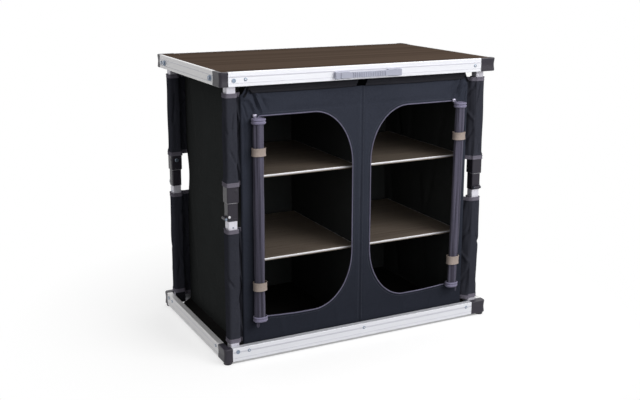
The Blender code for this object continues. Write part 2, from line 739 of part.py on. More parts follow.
def make_handle_block(side):
    """An end block of the handle, with the seat of the grip's end and a slot for its foot."""
    inner = HANDLE_HALF - BLOCK_LENGTH
    back_y = RAIL_FACE_Y - GAP
    spans = sorted((side * inner, side * HANDLE_HALF))
    body = block(
        (spans[0], BLOCK_FRONT_Y, HANDLE_Z - BLOCK_HEIGHT / 2),
        (spans[1], back_y, HANDLE_Z + BLOCK_HEIGHT / 2),
        BLOCK_EDGE,
    )
    seat_end = inner + GRIP_SEAT_LENGTH + RUN_GAP
    seat_spans = sorted((side * (inner - OVERRUN), side * seat_end))
    half_seat = GRIP_HEIGHT / 2 + RUN_GAP
    seat = block(
        (seat_spans[0], BLOCK_FRONT_Y - OVERRUN, HANDLE_Z - half_seat),
        (seat_spans[1], GRIP_BACK_Y + RUN_GAP, HANDLE_Z + half_seat),
    )
    slot_near = inner + GRIP_FOOT_INSET - RUN_GAP
    slot_spans = sorted((side * slot_near, side * seat_end))
    half_slot = GRIP_FOOT_HEIGHT / 2 + RUN_GAP
    slot = block(
        (slot_spans[0], GRIP_BACK_Y - OVERRUN, HANDLE_Z - half_slot),
        (slot_spans[1], GRIP_BACK_Y + GRIP_FOOT + RUN_GAP, HANDLE_Z + half_slot),
    )
    return shaped(body, cut=[seat, slot])


def make_handle_grip():
    """The grip: a bar that bows forwards between the blocks, with a foot in each block's slot."""
    inner = HANDLE_HALF - BLOCK_LENGTH
    end = inner + GRIP_SEAT_LENGTH
    x = np.concatenate([[-end], np.linspace(-inner, inner, BOW_STEPS + 1), [end]])
    bow = GRIP_BOW * np.clip(1 - (x / inner) ** 2, 0, None)
    back = np.stack([x, GRIP_BACK_Y - bow], axis=1)
    front = np.stack([x, GRIP_BACK_Y - GRIP_THICK - bow], axis=1)[::-1]
    outline = np.concatenate([back, front])
    bar = prism(outline, HANDLE_Z - GRIP_HEIGHT / 2, HANDLE_Z + GRIP_HEIGHT / 2, 2)
    feet = []
    for side in (-1, 1):
        spans = sorted((side * (inner + GRIP_FOOT_INSET), side * end))
        low = (spans[0], GRIP_BACK_Y - GRIP_THICK / 2, HANDLE_Z - GRIP_FOOT_HEIGHT / 2)
        high = (spans[1], GRIP_BACK_Y + GRIP_FOOT, HANDLE_Z + GRIP_FOOT_HEIGHT / 2)
        feet.append(block(low, high))
    return shaped(bar, feet)


def add_handle(carrier):
    """The handle's two blocks and its grip."""
    for side, half in ((-1, "left"), (1, "right")):
        add_piece(f"handle_block_{half}", make_handle_block(side), GREY_PLASTIC, carrier)
    add_piece("handle_grip", make_handle_grip(), GREY_PLASTIC, carrier)


# The whole cupboard


def main():
    """Build the cupboard under one empty, which puts the box round it over the origin."""
    clear_scene()
    cupboard = make_empty("cupboard", (0, CENTRE_Y, 0))
    top_pivot = quarter_frame(0, LEG_ALONG, LEG_ACROSS) @ Vector((0, 0, PIVOT_HIGH_Z))
    top = make_empty("top_frame_pivot", top_pivot, cupboard)
    add_frame("bottom", BOTTOM_Z, PIVOT_LOW_Z, cupboard)
    add_piece("floor_board", make_floor_board(), DARK_BOARD, cupboard)
    add_frame("top", TOP_Z, PIVOT_HIGH_Z, top)
    add_piece("table_board", make_table_board(), BROWN_LAMINATE, top)
    add_handle(top)
    for quarter in range(4):
        add_leg(quarter, cupboard)
    add_cabinet(cupboard)


main()
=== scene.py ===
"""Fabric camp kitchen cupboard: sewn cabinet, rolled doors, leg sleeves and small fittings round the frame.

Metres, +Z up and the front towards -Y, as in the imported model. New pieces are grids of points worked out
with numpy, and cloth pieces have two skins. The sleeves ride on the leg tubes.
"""
import math

import bpy
import numpy as np
from mathutils import Matrix, Vector


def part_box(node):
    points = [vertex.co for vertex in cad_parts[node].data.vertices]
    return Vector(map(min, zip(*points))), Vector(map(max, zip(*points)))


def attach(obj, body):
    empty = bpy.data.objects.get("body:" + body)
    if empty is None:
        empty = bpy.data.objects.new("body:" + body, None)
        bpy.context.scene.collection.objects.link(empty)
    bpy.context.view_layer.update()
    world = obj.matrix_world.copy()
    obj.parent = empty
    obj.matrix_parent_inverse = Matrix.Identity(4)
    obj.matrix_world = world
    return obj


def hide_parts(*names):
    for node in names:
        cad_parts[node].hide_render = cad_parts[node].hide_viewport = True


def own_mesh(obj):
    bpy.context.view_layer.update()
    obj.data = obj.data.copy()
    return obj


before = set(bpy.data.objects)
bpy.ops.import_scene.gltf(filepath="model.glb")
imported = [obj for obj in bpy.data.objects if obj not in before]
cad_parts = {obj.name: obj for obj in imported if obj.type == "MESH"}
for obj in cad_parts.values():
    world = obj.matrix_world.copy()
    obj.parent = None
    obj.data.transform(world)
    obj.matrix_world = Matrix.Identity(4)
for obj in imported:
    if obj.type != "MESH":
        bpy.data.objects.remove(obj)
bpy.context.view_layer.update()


def box(node):
    """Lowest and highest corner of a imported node, as arrays."""
    low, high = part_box(node)
    return np.array(low), np.array(high)


# What all pieces share
CLOTH = 0.0010
SHARP_DEGREES = 42
CORNERS = ("front_left", "front_right", "rear_right", "rear_left")
SIDES = ("front", "right", "rear", "left")
HANDS = ((-1, "left"), (1, "right"))
FORWARD, BACKWARD, UP = (0, -1, 0), (0, 1, 0), (0, 0, 1)
SCREW_LOBES = 6


# Grids of points turned into faces

def quads_of(table):
    """The four corners of every cell of a table, in turn round the cell."""
    cells = [table[:-1, :-1], table[:-1, 1:], table[1:, 1:], table[1:, :-1]]
    return np.stack(cells, axis=-1).reshape(-1, 4)


def travelled(grid, axis):
    """Distance from the first line of a grid to each other line, as the mean of all its steps."""
    steps = np.linalg.norm(np.diff(grid, axis=axis), axis=2).mean(axis=1 - axis)
    return np.concatenate([[0.0], np.cumsum(steps)])


def outward(points, quads, uv, caps):
    """The same patch with its faces turned over if the volume that they close is negative."""
    corner = (points - points.mean(axis=0))[quads]
    volume = sum((corner[:, 0] * np.cross(corner[:, i], corner[:, i + 1])).sum() for i in (1, 2))
    if volume < 0:
        quads, uv, caps = quads[:, ::-1], uv[:, ::-1], [cap[::-1] for cap in caps]
    return points, quads, uv, caps


def closed_up(table, rows, columns):
    """A table with its first column and first row repeated at the end where it runs round."""
    if columns:
        table = np.concatenate([table, table[:, :1]], axis=1)
    if rows:
        table = np.concatenate([table, table[:1]], axis=0)
    return table


def grid_of(x, y, z):
    """A grid of points from its three coordinates, each spread to the shape of all."""
    return np.stack(np.broadcast_arrays(x, y, z), axis=2)


def laid_out(grid, rows, columns):
    """A grid's numbered points, and how far each lies across and along, closed where they run round."""
    table = closed_up(np.arange(grid.shape[0] * grid.shape[1]).reshape(grid.shape[:2]), rows, columns)
    shape = closed_up(grid, rows, columns)
    across, along = np.meshgrid(travelled(shape, 1), travelled(shape, 0))
    return table, across, along


def surface(grid, ring_rows=False):
    """A closed patch of a grid of points. Its columns run round, and its rows do or flat caps close them."""
    table, across, along = laid_out(grid, ring_rows, True)
    uv = np.stack([quads_of(across), quads_of(along)], axis=-1)
    caps = [] if ring_rows else [table[0, :-1][::-1], table[-1, :-1]]
    return outward(grid.reshape(-1, 3), quads_of(table), uv, caps)


def normals_of(grid, ring):
    """Unit normals of a grid: the cross product of its steps across and along."""
    across = np.roll(grid, -1, axis=1) - np.roll(grid, 1, axis=1) if ring else np.gradient(grid, axis=1)
    normal = np.cross(across, np.gradient(grid, axis=0))
    return normal / np.maximum(np.linalg.norm(normal, axis=2, keepdims=True), 1e-12)


def skins(front, back, ring):
    """Every face of a sheet with two skins: front, back turned over, and the rims between their edges."""
    faces = [quads_of(front), quads_of(back)[:, ::-1]]
    rims = [(back[0], front[0]), (front[-1], back[-1])]
    if not ring:
        rims += [(front[:, 0], back[:, 0]), (back[:, -1], front[:, -1])]
    return np.concatenate(faces + [quads_of(np.stack(rim)) for rim in rims])


def cloth(grid, thickness=CLOTH, ring=False):
    """A patch of cloth: the grid moved half a thickness along its normals to either side."""
    push = normals_of(grid, ring) * thickness / 2
    front, across, along = laid_out(grid, False, ring)
    uv = np.stack([skins(across, across, ring), skins(along, along, ring)], axis=-1)
    points = np.concatenate([(grid + push).reshape(-1, 3), (grid - push).reshape(-1, 3)])
    return outward(points, skins(front, front + grid.shape[0] * grid.shape[1], ring), uv, [])


def resampled(path, count, closed):
    """Points at equal steps along a path."""
    if closed:
        path = np.concatenate([path, path[:1]])
    gone = np.concatenate([[0.0], np.cumsum(np.linalg.norm(np.diff(path, axis=0), axis=1))])
    wanted = np.linspace(0, gone[-1], count, endpoint=not closed)
    return np.stack([np.interp(wanted, gone, path[:, i]) for i in range(path.shape[1])], axis=1)


def rounded_outline(half_across, half_deep, power=2.0, count=12):
    """Closed outline on which |x/a| and |y/b|, each to the power, add up to one. Two is an ellipse."""
    turn = np.linspace(0, 2 * math.pi, 480, endpoint=False)
    outline = [half * np.sign(wave) * np.abs(wave) ** (2 / power)
               for half, wave in ((half_across, np.cos(turn)), (half_deep, np.sin(turn)))]
    return resampled(np.stack(outline, axis=1), count, closed=True)


def steps_along(path, closed):
    """Unit direction of a path at each of its points."""
    ahead = np.roll(path, -1, axis=0) - np.roll(path, 1, axis=0) if closed else np.gradient(path, axis=0)
    return ahead / np.linalg.norm(ahead, axis=1, keepdims=True)


def carried(path, facing, profile, closed=False):
    """A profile carried along a path, as a patch: its first number goes sideways, its second along facing."""
    facing = np.broadcast_to(np.asarray(facing, float), path.shape)
    side = np.cross(steps_along(path, closed), facing)
    side /= np.linalg.norm(side, axis=1, keepdims=True)
    grid = path[:, None] + side[:, None] * profile[None, :, :1] + facing[:, None] * profile[None, :, 1:]
    return surface(grid, ring_rows=closed)


def turned(profile, count, wave=0.0):
    """A patch of revolution round Z, from pairs of radius and height. wave pulls its lobes in and out."""
    turn = np.linspace(0, 2 * math.pi, count, endpoint=False)
    radii, heights = np.array(profile).T[:, :, None]
    radii = radii * (1 + wave * np.cos(SCREW_LOBES * turn))
    return surface(grid_of(radii * np.cos(turn), radii * np.sin(turn), heights))


def moved(patch, matrix):
    """The patch turned and moved by a matrix."""
    points, quads, uv, caps = patch
    matrix = np.array(matrix)
    return outward(points @ matrix[:3, :3].T + matrix[:3, 3], quads, uv, caps)


def facing_matrix(place, direction):
    """The matrix that takes Z to a direction and the origin to a place."""
    turn = Vector((0, 0, 1)).rotation_difference(Vector(direction)).to_matrix().to_4x4()
    return Matrix.Translation(Vector(place)) @ turn


def make(name, patches, finish, body, replaced=(), fold=None):
    """Joins patches to one piece, with its finish and body. It hides the nodes it stands for, and gives the
    piece its own mesh where a fold is given.
    """
    points, faces, uv, first = [], [], [], 0
    for places, quads, quad_uv, caps in patches:
        points.append(places)
        faces += (quads + first).tolist() + [(cap + first).tolist() for cap in caps]
        uv += [quad_uv.reshape(-1, 2)] + [places[cap][:, :2] for cap in caps]
        first += len(places)
    mesh = bpy.data.meshes.new(name)
    mesh.from_pydata(np.concatenate(points).tolist(), [], faces)
    mesh.uv_layers.new(name="Cut").uv.foreach_set("vector", np.concatenate(uv).ravel())
    mesh.shade_smooth()
    mesh.set_sharp_from_angle(angle=math.radians(SHARP_DEGREES))
    mesh.materials.append(finish)
    piece = bpy.data.objects.new(name, mesh)
    bpy.context.scene.collection.objects.link(piece)
    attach(piece, body)
    if replaced:
        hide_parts(*replaced)
    if fold:
        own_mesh(piece)
    return piece


# Folds in cloth

def smooth_step(value):
    """Nothing below nought, one above one, and a soft climb between."""
    value = np.clip(value, 0, 1)
    return value * value * (3 - 2 * value)


def bell(value, width):
    """A soft bump of height one round nought."""
    return np.exp(-(value / width) ** 2)


def crease(x, z, start, end, width, height):
    """Height of a fold along a line: a bell across it, which fades past both of its ends."""
    start, end = np.array(start), np.array(end)
    length = np.linalg.norm(end - start)
    ahead = (end - start) / length
    along = (x - start[0]) * ahead[0] + (z - start[1]) * ahead[1]
    aside = (x - start[0]) * ahead[1] - (z - start[1]) * ahead[0]
    return height * bell(aside, width) * bell(along - np.clip(along, 0, length), 2.5 * width)


def creases(x, z, folds):
    """The sum of several folds, each given by the two ends of its line, its width and its height."""
    return sum(crease(x, z, fold[:2], fold[2:4], *fold[4:]) for fold in folds)


def waves(x, z, seed, height, longest, shortest, stretch):
    """Slack in cloth: six sines of random phase and lean, stretched along z, the long ones highest."""
    draw = np.random.RandomState(seed)
    lengths = np.geomspace(longest, shortest, 6)
    total = np.zeros_like(x)
    for length in lengths:
        lean, phase = draw.uniform(-0.9, 0.9), draw.uniform(0, 2 * math.pi)
        gone = x * math.cos(lean) + z * math.sin(lean) / stretch
        total += length * np.sin(2 * math.pi * gone / length + phase)
    return height * total / lengths.sum()


# Shader groups that several finishes share

def screen_colour(red, green, blue):
    """A colour as a screen shows it, 0 to 255, as the linear numbers that shaders use."""
    seen = np.array([red, green, blue]) / 255
    linear = np.where(seen <= 0.04045, seen / 12.92, ((seen + 0.055) / 1.055) ** 2.4)
    return (*linear.tolist(), 1.0)


def node(tree, kind, inputs=None, **settings):
    """Adds a shader node. An input is linked where a socket is given, and set where a value is given."""
    made = tree.nodes.new(kind)
    for name, value in settings.items():
        setattr(made, name, value)
    for name, value in (inputs or {}).items():
        if isinstance(value, bpy.types.NodeSocket):
            tree.links.new(value, made.inputs[name])
        else:
            made.inputs[name].default_value = value
    return made


def maths(tree, operation, *values):
    """Adds a math node and gives its result."""
    return node(tree, "ShaderNodeMath", dict(enumerate(values)), operation=operation).outputs[0]


def mapped(tree, value, low, high, new_low, new_high):
    """A value moved from one range to another, and held inside it."""
    inputs = {"Value": value, "From Min": low, "From Max": high, "To Min": new_low, "To Max": new_high}
    return node(tree, "ShaderNodeMapRange", inputs).outputs[0]


def mixed(tree, share, first, second):
    """Two colours mixed by a share."""
    return node(tree, "ShaderNodeMix", {0: share, 6: first, 7: second}, data_type="RGBA").outputs[2]


def new_group(name, inputs, outputs):
    """An empty shader group with named sockets. Gives the group and the nodes at its two ends."""
    group = bpy.data.node_groups.new(name, "ShaderNodeTree")
    for direction, sockets in (("INPUT", inputs), ("OUTPUT", outputs)):
        for label, kind in sockets.items():
            group.interface.new_socket(label, in_out=direction, socket_type="NodeSocket" + kind)
    return group, group.nodes.new("NodeGroupInput").outputs, group.nodes.new("NodeGroupOutput").inputs


def object_place(tree):
    """The object's own coordinates."""
    return node(tree, "ShaderNodeTexCoord").outputs["Object"]


def noise(tree, place, scale, detail, roughness=0.5):
    """A soft noise at a place."""
    inputs = {"Vector": place, "Scale": scale, "Detail": detail, "Roughness": roughness}
    return node(tree, "ShaderNodeTexNoise", inputs).outputs["Fac"]


def lightened(tree, colour, value):
    """A colour made lighter or darker by a value, where one leaves it as it is."""
    return node(tree, "ShaderNodeHueSaturation", {"Value": value, "Color": colour}).outputs["Color"]


def mottle_group():
    """Uneven colour: soft noise on the object's own coordinates makes it a little lighter or darker."""
    sockets = {"Colour": "Color", "Scale": "Float", "Amount": "Float"}
    group, given, result = new_group("uneven_colour", sockets, {"Colour": "Color"})
    soft = noise(group, object_place(group), given["Scale"], 4.0)
    swing = maths(group, "MULTIPLY", maths(group, "SUBTRACT", soft, 0.5), given["Amount"])
    value = maths(group, "MULTIPLY_ADD", swing, 2.0, 1.0)
    group.links.new(lightened(group, given["Colour"], value), result["Colour"])
    return group


def weave_group():
    """Plain weave on the cut cloth's own metres: two sets of threads that pass over and under by turns."""
    sockets = {"Across": "Float", "Along": "Float", "Threads": "Float"}
    group, given, result = new_group("woven_threads", sockets, {"Height": "Float"})
    threads = [maths(group, "SINE", maths(group, "MULTIPLY", given[axis], given["Threads"]))
               for axis in ("Across", "Along")]
    crossing = maths(group, "MULTIPLY", *threads)
    rounds = maths(group, "ADD", *(maths(group, "ABSOLUTE", thread) for thread in threads))
    height = maths(group, "MULTIPLY_ADD", crossing, 0.5, maths(group, "MULTIPLY", rounds, 0.5))
    group.links.new(height, result["Height"])
    return group


def lint_group():
    """Specks of lint and dust: small cells of a noise, thinned out by a wider one."""
    group, given, result = new_group("lint", {"Scale": "Float", "Amount": "Float"}, {"Mask": "Float"})
    place = object_place(group)
    cells = node(group, "ShaderNodeTexVoronoi", {"Vector": place, "Scale": given["Scale"]})
    near = mapped(group, cells.outputs["Distance"], 0.10, 0.0, 0.0, 1.0)
    patchy = mapped(group, noise(group, place, 9.0, 3.0), 0.5, 0.75, 0.0, 1.0)
    mask = maths(group, "MULTIPLY", maths(group, "MULTIPLY", near, patchy), given["Amount"])
    group.links.new(mask, result["Mask"])
    return group


def streak_group():
    """Fine lines along one direction, as in drawn metal and printed wood: noise on stretched coordinates."""
    sockets = {"Stretch": "Vector", "Detail": "Float"}
    group, given, result = new_group("fine_streaks", sockets, {"Value": "Float"})
    stretched = node(group, "ShaderNodeVectorMath", {0: object_place(group), 1: given["Stretch"]},
                     operation="MULTIPLY").outputs[0]
    group.links.new(noise(group, stretched, 1.0, given["Detail"], 0.6), result["Value"])
    return group


def wear_group():
    """Rubbed edges: where a bevelled normal leaves the flat one, broken up by noise."""
    sockets = {"Radius": "Float", "Amount": "Float"}
    group, given, result = new_group("rubbed_edges", sockets, {"Mask": "Float"})
    flat = node(group, "ShaderNodeNewGeometry").outputs["Normal"]
    soft = node(group, "ShaderNodeBevel", {"Radius": given["Radius"]}, samples=4).outputs["Normal"]
    same = node(group, "ShaderNodeVectorMath", {0: flat, 1: soft}, operation="DOT_PRODUCT").outputs["Value"]
    edge = mapped(group, same, 0.995, 0.85, 0.0, 1.0)
    broken = mapped(group, noise(group, object_place(group), 60.0, 4.0), 0.4, 0.65, 0.2, 1.0)
    mask = maths(group, "MULTIPLY", maths(group, "MULTIPLY", edge, broken), given["Amount"])
    group.links.new(mask, result["Mask"])
    return group


def grain_group():
    """Grain of moulded plastic and powder: a fine noise for height."""
    group, given, result = new_group("moulded_grain", {"Scale": "Float"}, {"Height": "Float"})
    group.links.new(noise(group, object_place(group), given["Scale"], 2.0), result["Height"])
    return group


MOTTLE = mottle_group()
WEAVE = weave_group()
LINT = lint_group()
STREAKS = streak_group()
WEAR = wear_group()
GRAIN = grain_group()


def placed(tree, group, inputs):
    """Puts a shared group in a material and gives its first output."""
    return node(tree, "ShaderNodeGroup", inputs, node_tree=group).outputs[0]


# Finishes, with their colours as a screen shows them

SOCKETS = {"roughness": "Roughness", "metallic": "Metallic", "specular": "Specular IOR Level",
           "sheen": "Sheen Weight", "sheen_roughness": "Sheen Roughness"}
ALONG_X, ALONG_Y, ALONG_Z = (2.2, 900.0, 900.0), (900.0, 2.2, 900.0), (900.0, 900.0, 2.2)
CLOTH_MOTTLE = ((11.0, 0.12), (300.0, 0.24))
CLOTH_DUST, PLASTIC_DUST, BOARD_DUST = (120, 120, 124), (150, 150, 150), (150, 145, 140)
RUBBED_METAL = (250, 250, 252)
# A printed board's streaks, broad to fine: spacing, detail, range of noise used, and share of the tone
BOARD_STREAKS = ((0.22, 2.0, 0.38, 0.62, 0.40), (1.0, 4.0, 0.32, 0.68, 0.35), (3.7, 5.0, 0.3, 0.7, 0.25))


def new_finish(name, **constants):
    """A material with one Principled shader, its constant sockets set by plain words."""
    material = bpy.data.materials.new(name)
    material.use_nodes = True
    shader = material.node_tree.nodes["Principled BSDF"]
    for word, value in constants.items():
        shader.inputs[SOCKETS[word]].default_value = value
    return material, material.node_tree, shader


def dressed(tree, shader, colour, height, distance, strength, roughness=None):
    """Feeds a colour and a height to a shader, and where given a roughness that climbs with the height."""
    bump = node(tree, "ShaderNodeBump", {"Height": height, "Distance": distance, "Strength": strength})
    tree.links.new(bump.outputs["Normal"], shader.inputs["Normal"])
    tree.links.new(colour, shader.inputs["Base Color"])
    if roughness:
        tree.links.new(mapped(tree, height, 0.3, 0.7, *roughness), shader.inputs["Roughness"])


# The second colour of a cloth, light, is the painted highlight on its thread crowns.
def cloth_finish(name, colour, light, threads=2600.0, lint=0.5, ribs=None, bands=None, painted_shade_by_height=None,
                 **constants):
    """Woven cloth: uneven colour, threads whose crowns carry a painted highlight, and lint.

    Where given, ribs run across it, long bands of painted highlight and shade run down it, and painted shade
    darkens it from one height to another.
    """
    material, tree, shader = new_finish(name, roughness=0.9, specular=0.0, **constants)
    flat_place = node(tree, "ShaderNodeUVMap", uv_map="Cut").outputs[0]
    cut = node(tree, "ShaderNodeSeparateXYZ", {0: flat_place}).outputs
    height = placed(tree, WEAVE, {"Across": cut["X"], "Along": cut["Y"], "Threads": threads})
    # Painted highlight: the thread crowns are mixed towards the lighter colour.
    painted_highlights = mapped(tree, height, 0.0, 1.0, 0.0, 0.35)
    tone = mixed(tree, painted_highlights, screen_colour(*colour), screen_colour(*light))
    for scale, amount in CLOTH_MOTTLE:
        tone = placed(tree, MOTTLE, {"Colour": tone, "Scale": scale, "Amount": amount})
    # Painted highlight and shade: lighter and darker bands down the cloth.
    if bands:
        streak = placed(tree, STREAKS, {"Stretch": bands, "Detail": 1.0})
        tone = lightened(tree, tone, mapped(tree, streak, 0.38, 0.62, 0.74, 1.42))
    # Painted shade: the tone's value is lowered towards the lower edge, between the two given heights.
    if painted_shade_by_height:
        level = node(tree, "ShaderNodeSeparateXYZ", {0: object_place(tree)}).outputs["Z"]
        tone = lightened(tree, tone, mapped(tree, level, *painted_shade_by_height))
    specks = placed(tree, LINT, {"Scale": 210.0, "Amount": lint})
    if ribs:
        rib = maths(tree, "SINE", maths(tree, "MULTIPLY", cut["X"], 2 * math.pi / ribs))
        height = maths(tree, "MULTIPLY_ADD", rib, 0.8, height)
    dressed(tree, shader, mixed(tree, specks, tone, screen_colour(*CLOTH_DUST)), height, 0.00018, 0.5)
    return material


def metal_finish(name, colour, stretch, metallic, roughness, wear=0.4):
    """Satin anodised aluminium: drawn lines along the piece, slightly uneven sheen, brighter rubbed edges."""
    material, tree, shader = new_finish(name, metallic=metallic)
    lines = placed(tree, STREAKS, {"Stretch": stretch, "Detail": 3.0})
    uneven = placed(tree, MOTTLE, {"Colour": screen_colour(*colour), "Scale": 14.0, "Amount": 0.03})
    drawn = lightened(tree, uneven, mapped(tree, lines, 0.3, 0.7, 0.955, 1.04))
    edge = placed(tree, WEAR, {"Radius": 0.0012, "Amount": wear})
    rubbed = mixed(tree, edge, drawn, screen_colour(*RUBBED_METAL))
    dressed(tree, shader, rubbed, lines, 0.00004, 0.6, (roughness - 0.06, roughness + 0.08))
    return material


def plastic_finish(name, colour, worn, roughness=0.45, mottle=0.10):
    """Moulded plastic: fine grain, paler rubbed edges and a little dust."""
    material, tree, shader = new_finish(name, specular=0.3)
    uneven = placed(tree, MOTTLE, {"Colour": screen_colour(*colour), "Scale": 40.0, "Amount": mottle})
    edge = placed(tree, WEAR, {"Radius": 0.0014, "Amount": 0.8})
    rubbed = mixed(tree, edge, uneven, screen_colour(*worn))
    specks = placed(tree, LINT, {"Scale": 260.0, "Amount": 0.4})
    dusty = mixed(tree, specks, rubbed, screen_colour(*PLASTIC_DUST))
    grain = placed(tree, GRAIN, {"Scale": 900.0})
    dressed(tree, shader, dusty, grain, 0.00012, 0.5, (roughness - 0.07, roughness + 0.1))
    return material


def board_finish(name, dark, light, stretch, roughness, specular):
    """Printed board: streaks between a dark and a light tone. The finest, which come last, give relief."""
    material, tree, shader = new_finish(name, specular=specular)
    tone = 0.0
    for closer, detail, low, high, share in BOARD_STREAKS:
        spacing = tuple(closer * part for part in stretch)
        streak = placed(tree, STREAKS, {"Stretch": spacing, "Detail": detail})
        tone = maths(tree, "ADD", tone, mapped(tree, streak, low, high, 0.0, share))
    grained = mixed(tree, tone, screen_colour(*dark), screen_colour(*light))
    specks = placed(tree, LINT, {"Scale": 180.0, "Amount": 0.3})
    dusty = mixed(tree, specks, grained, screen_colour(*BOARD_DUST))
    dressed(tree, shader, dusty, streak, 0.00008, 0.5, (roughness - 0.05, roughness + 0.08))
    return material


FINISHES = {
    "anodised_aluminium": metal_finish("front_rail_aluminium", (236, 237, 243), ALONG_X, 0.35, 0.36),
    "side_aluminium": metal_finish("side_rail_aluminium", (240, 239, 240), ALONG_Y, 0.28, 0.36),
    "leg_aluminium": metal_finish("leg_tube_aluminium", (234, 232, 242), ALONG_Z, 0.18, 0.34),
    "bright_steel": metal_finish("zinc_steel", (132, 144, 160), ALONG_Z, 0.85, 0.30, wear=0.2),
    "charcoal_plastic": plastic_finish("charcoal_plastic", (49, 46, 55), (78, 74, 86), 0.38),
    "black_plastic": plastic_finish("knee_plastic", (46, 43, 52), (76, 73, 84), 0.36),
    "grey_plastic": plastic_finish("handle_grey_plastic", (176, 178, 194), (206, 208, 220), 0.38, 0.04),
    "brown_laminate": board_finish("wood_look_laminate", (68, 57, 49), (93, 79, 69), (1.3, 130.0, 130.0),
                                   0.78, 0.0),
    "black_board": board_finish("dark_board", (24, 23, 23), (34, 32, 32), (1.5, 90.0, 90.0), 0.8, 0.05),
    "shelf_board": board_finish("shelf_laminate", (104, 93, 84), (136, 124, 112), (1.1, 120.0, 120.0),
                                0.30, 0.5),
}
# The slate cloth carries painted shade: its value is 0.6 at 0.04 m and rises to 1.0 at 0.45 m.
SLATE_CLOTH = cloth_finish("slate_cloth", (51, 54, 64), (71, 75, 88), painted_shade_by_height=(0.04, 0.45, 0.60, 1.0))
SIDE_CLOTH = cloth_finish("side_wall_cloth", (54, 56, 56), (73, 75, 75))
SLEEVE_CLOTH = cloth_finish("sleeve_cloth", (54, 55, 63), (73, 75, 85))
# The door cloth's bands down the roll are painted highlight and shade.
DOOR_CLOTH = cloth_finish("rolled_door_cloth", (76, 74, 87), (104, 101, 118), bands=(110.0, 110.0, 1.6),
                          sheen=0.12, sheen_roughness=0.4)
HEM_CLOTH = cloth_finish("grey_hem_tape", (112, 108, 120), (140, 136, 148), 1500.0, 0.2, 0.0021)
PIPING_CLOTH = cloth_finish("violet_grey_piping", (106, 104, 124), (142, 139, 160), 1700.0, 0.1)
BINDING_CLOTH = cloth_finish("zip_tape", (120, 116, 140), (168, 164, 188), 1700.0, 0.1, sheen=0.15)
BAND_CLOTH = cloth_finish("beige_elastic", (168, 154, 146), (194, 181, 172), 2100.0, 0.1, 0.0016)
BLACK_TAPE = cloth_finish("black_tape", (43, 43, 48), (61, 61, 67), 1300.0, 0.3, 0.0026)
# Painted shade: near-black cloth for the gap in the hem band.
GAP_PAINTED_SHADE = cloth_finish("painted_gap_shade", (4, 4, 5), (8, 8, 9), lint=0.0)
THREAD = cloth_finish("grey_thread", (78, 80, 90), (104, 106, 116), lint=0.0)
NUB_PLASTIC = plastic_finish("dark_nub_plastic", (44, 42, 50), (70, 68, 76))
SLIDER_METAL = metal_finish("zip_slider_metal", (164, 161, 178), ALONG_Z, 0.5, 0.35, wear=0.5)
# Painted shade: a darker metal for the groove lines on the rails.
GROOVE_SHADE_METAL = metal_finish("rail_groove_painted_shade", (214, 214, 223), ALONG_X, 0.2, 0.4, wear=0.0)
TRIM_METAL = metal_finish("shelf_trim_metal", (226, 226, 230), ALONG_X, 0.25, 0.33)

for name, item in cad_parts.items():
    for material_slot in item.material_slots:
        wanted = material_slot.material.name.split(".")[0]
        if wanted == "anodised_aluminium" and name.split("_")[2] in ("left", "right"):
            wanted = "side_aluminium"
        if name.startswith("shelf"):
            wanted = "shelf_board"
        material_slot.material = FINISHES.get(wanted, SLATE_CLOTH)


# The sewn cabinet

CABINET_LOW, CABINET_HIGH = box("fabric_cabinet")
FRONT_Y = CABINET_LOW[1] + CLOTH / 2
REAR_Y = CABINET_HIGH[1] - CLOTH / 2
SIDE_X = CABINET_HIGH[0] - CLOTH / 2
LOW_Z = CABINET_LOW[2] + CLOTH / 2
HIGH_Z = CABINET_HIGH[2] - CLOTH / 2
CORNER_ROUND = 0.005
CORNER_FLARE = {-1: 0.0085, 1: 0.0}
FLARE_FROM_X = 0.336
FLARE_REACH = 0.10
# Relief of the front and the rear: grooves and ridges at the seams, a dip over the opening, and limits
SEAM_GROOVE, SEAM_GROOVE_WIDTH = 0.0022, 0.0022
DIP, DIP_ABOVE, DIP_WIDTH = 0.0012, 0.012, 0.006
DIP_UNTIL_X, DIP_FADE = 0.30, 0.1
ROLL_SIDE_X, ROLL_SIDE_WIDTH = 0.334, 0.020
ROLL_SIDE_TOP, ROLL_SIDE_FADE = 0.70, 0.03
ROLL_SIDE_RELIEF = 0.0004
SIDE_INWARD, REAR_INWARD = 0.0006, 0.002
REAR_SEAM, REAR_SEAM_WIDTH = 0.0012, 0.0025
REAR_GROOVE, REAR_GROOVE_ASIDE, REAR_GROOVE_WIDTH = 0.0008, 0.006, 0.002
# What draws the walls out of line: the pull at the knees, the droop of the top corners, and their sewn edges
REAR_PULL = 0.006
REAR_PULL_REACH = 0.05
KNEE_HEIGHT = 0.445
KNEE_SPREAD = 0.065
DROOP = 0.062
DROOP_FROM_X = 0.337
DROOP_FROM_Z = 0.70
DROOP_REACH = 0.030
SIDE_SAG = 0.00032
FRONT_HELD = 0.012
WALL_HELD = 0.020
MIDDLE_WALL_CLOTH = 0.0008
# The cloth's fold: the height it falls to, and the share of its own height it keeps. Nothing here flattens
# the cloth; a given fold only gives a piece its own mesh
CLOTH_FOLD = (0.0677, 0.005)

# The two openings, given for the right one
OPENING_OUTER = 0.333
OPENING_INNER = 0.030
OPENING_LOW = 0.111
OPENING_HIGH = 0.702
OPENING_CORNER = (0.125, 0.165)
OPENING_EDGE_ROUND = 0.012
OPENING_RISE = 0.006
OPENING_RISE_FROM = 0.20
OPENING_MIDDLE = np.array([0.190, 0.410])
OPENING_POINTS = 380
PANEL_COLUMNS = 460
PANEL_ROWS = 30
PANEL_CROWDING = 1.15

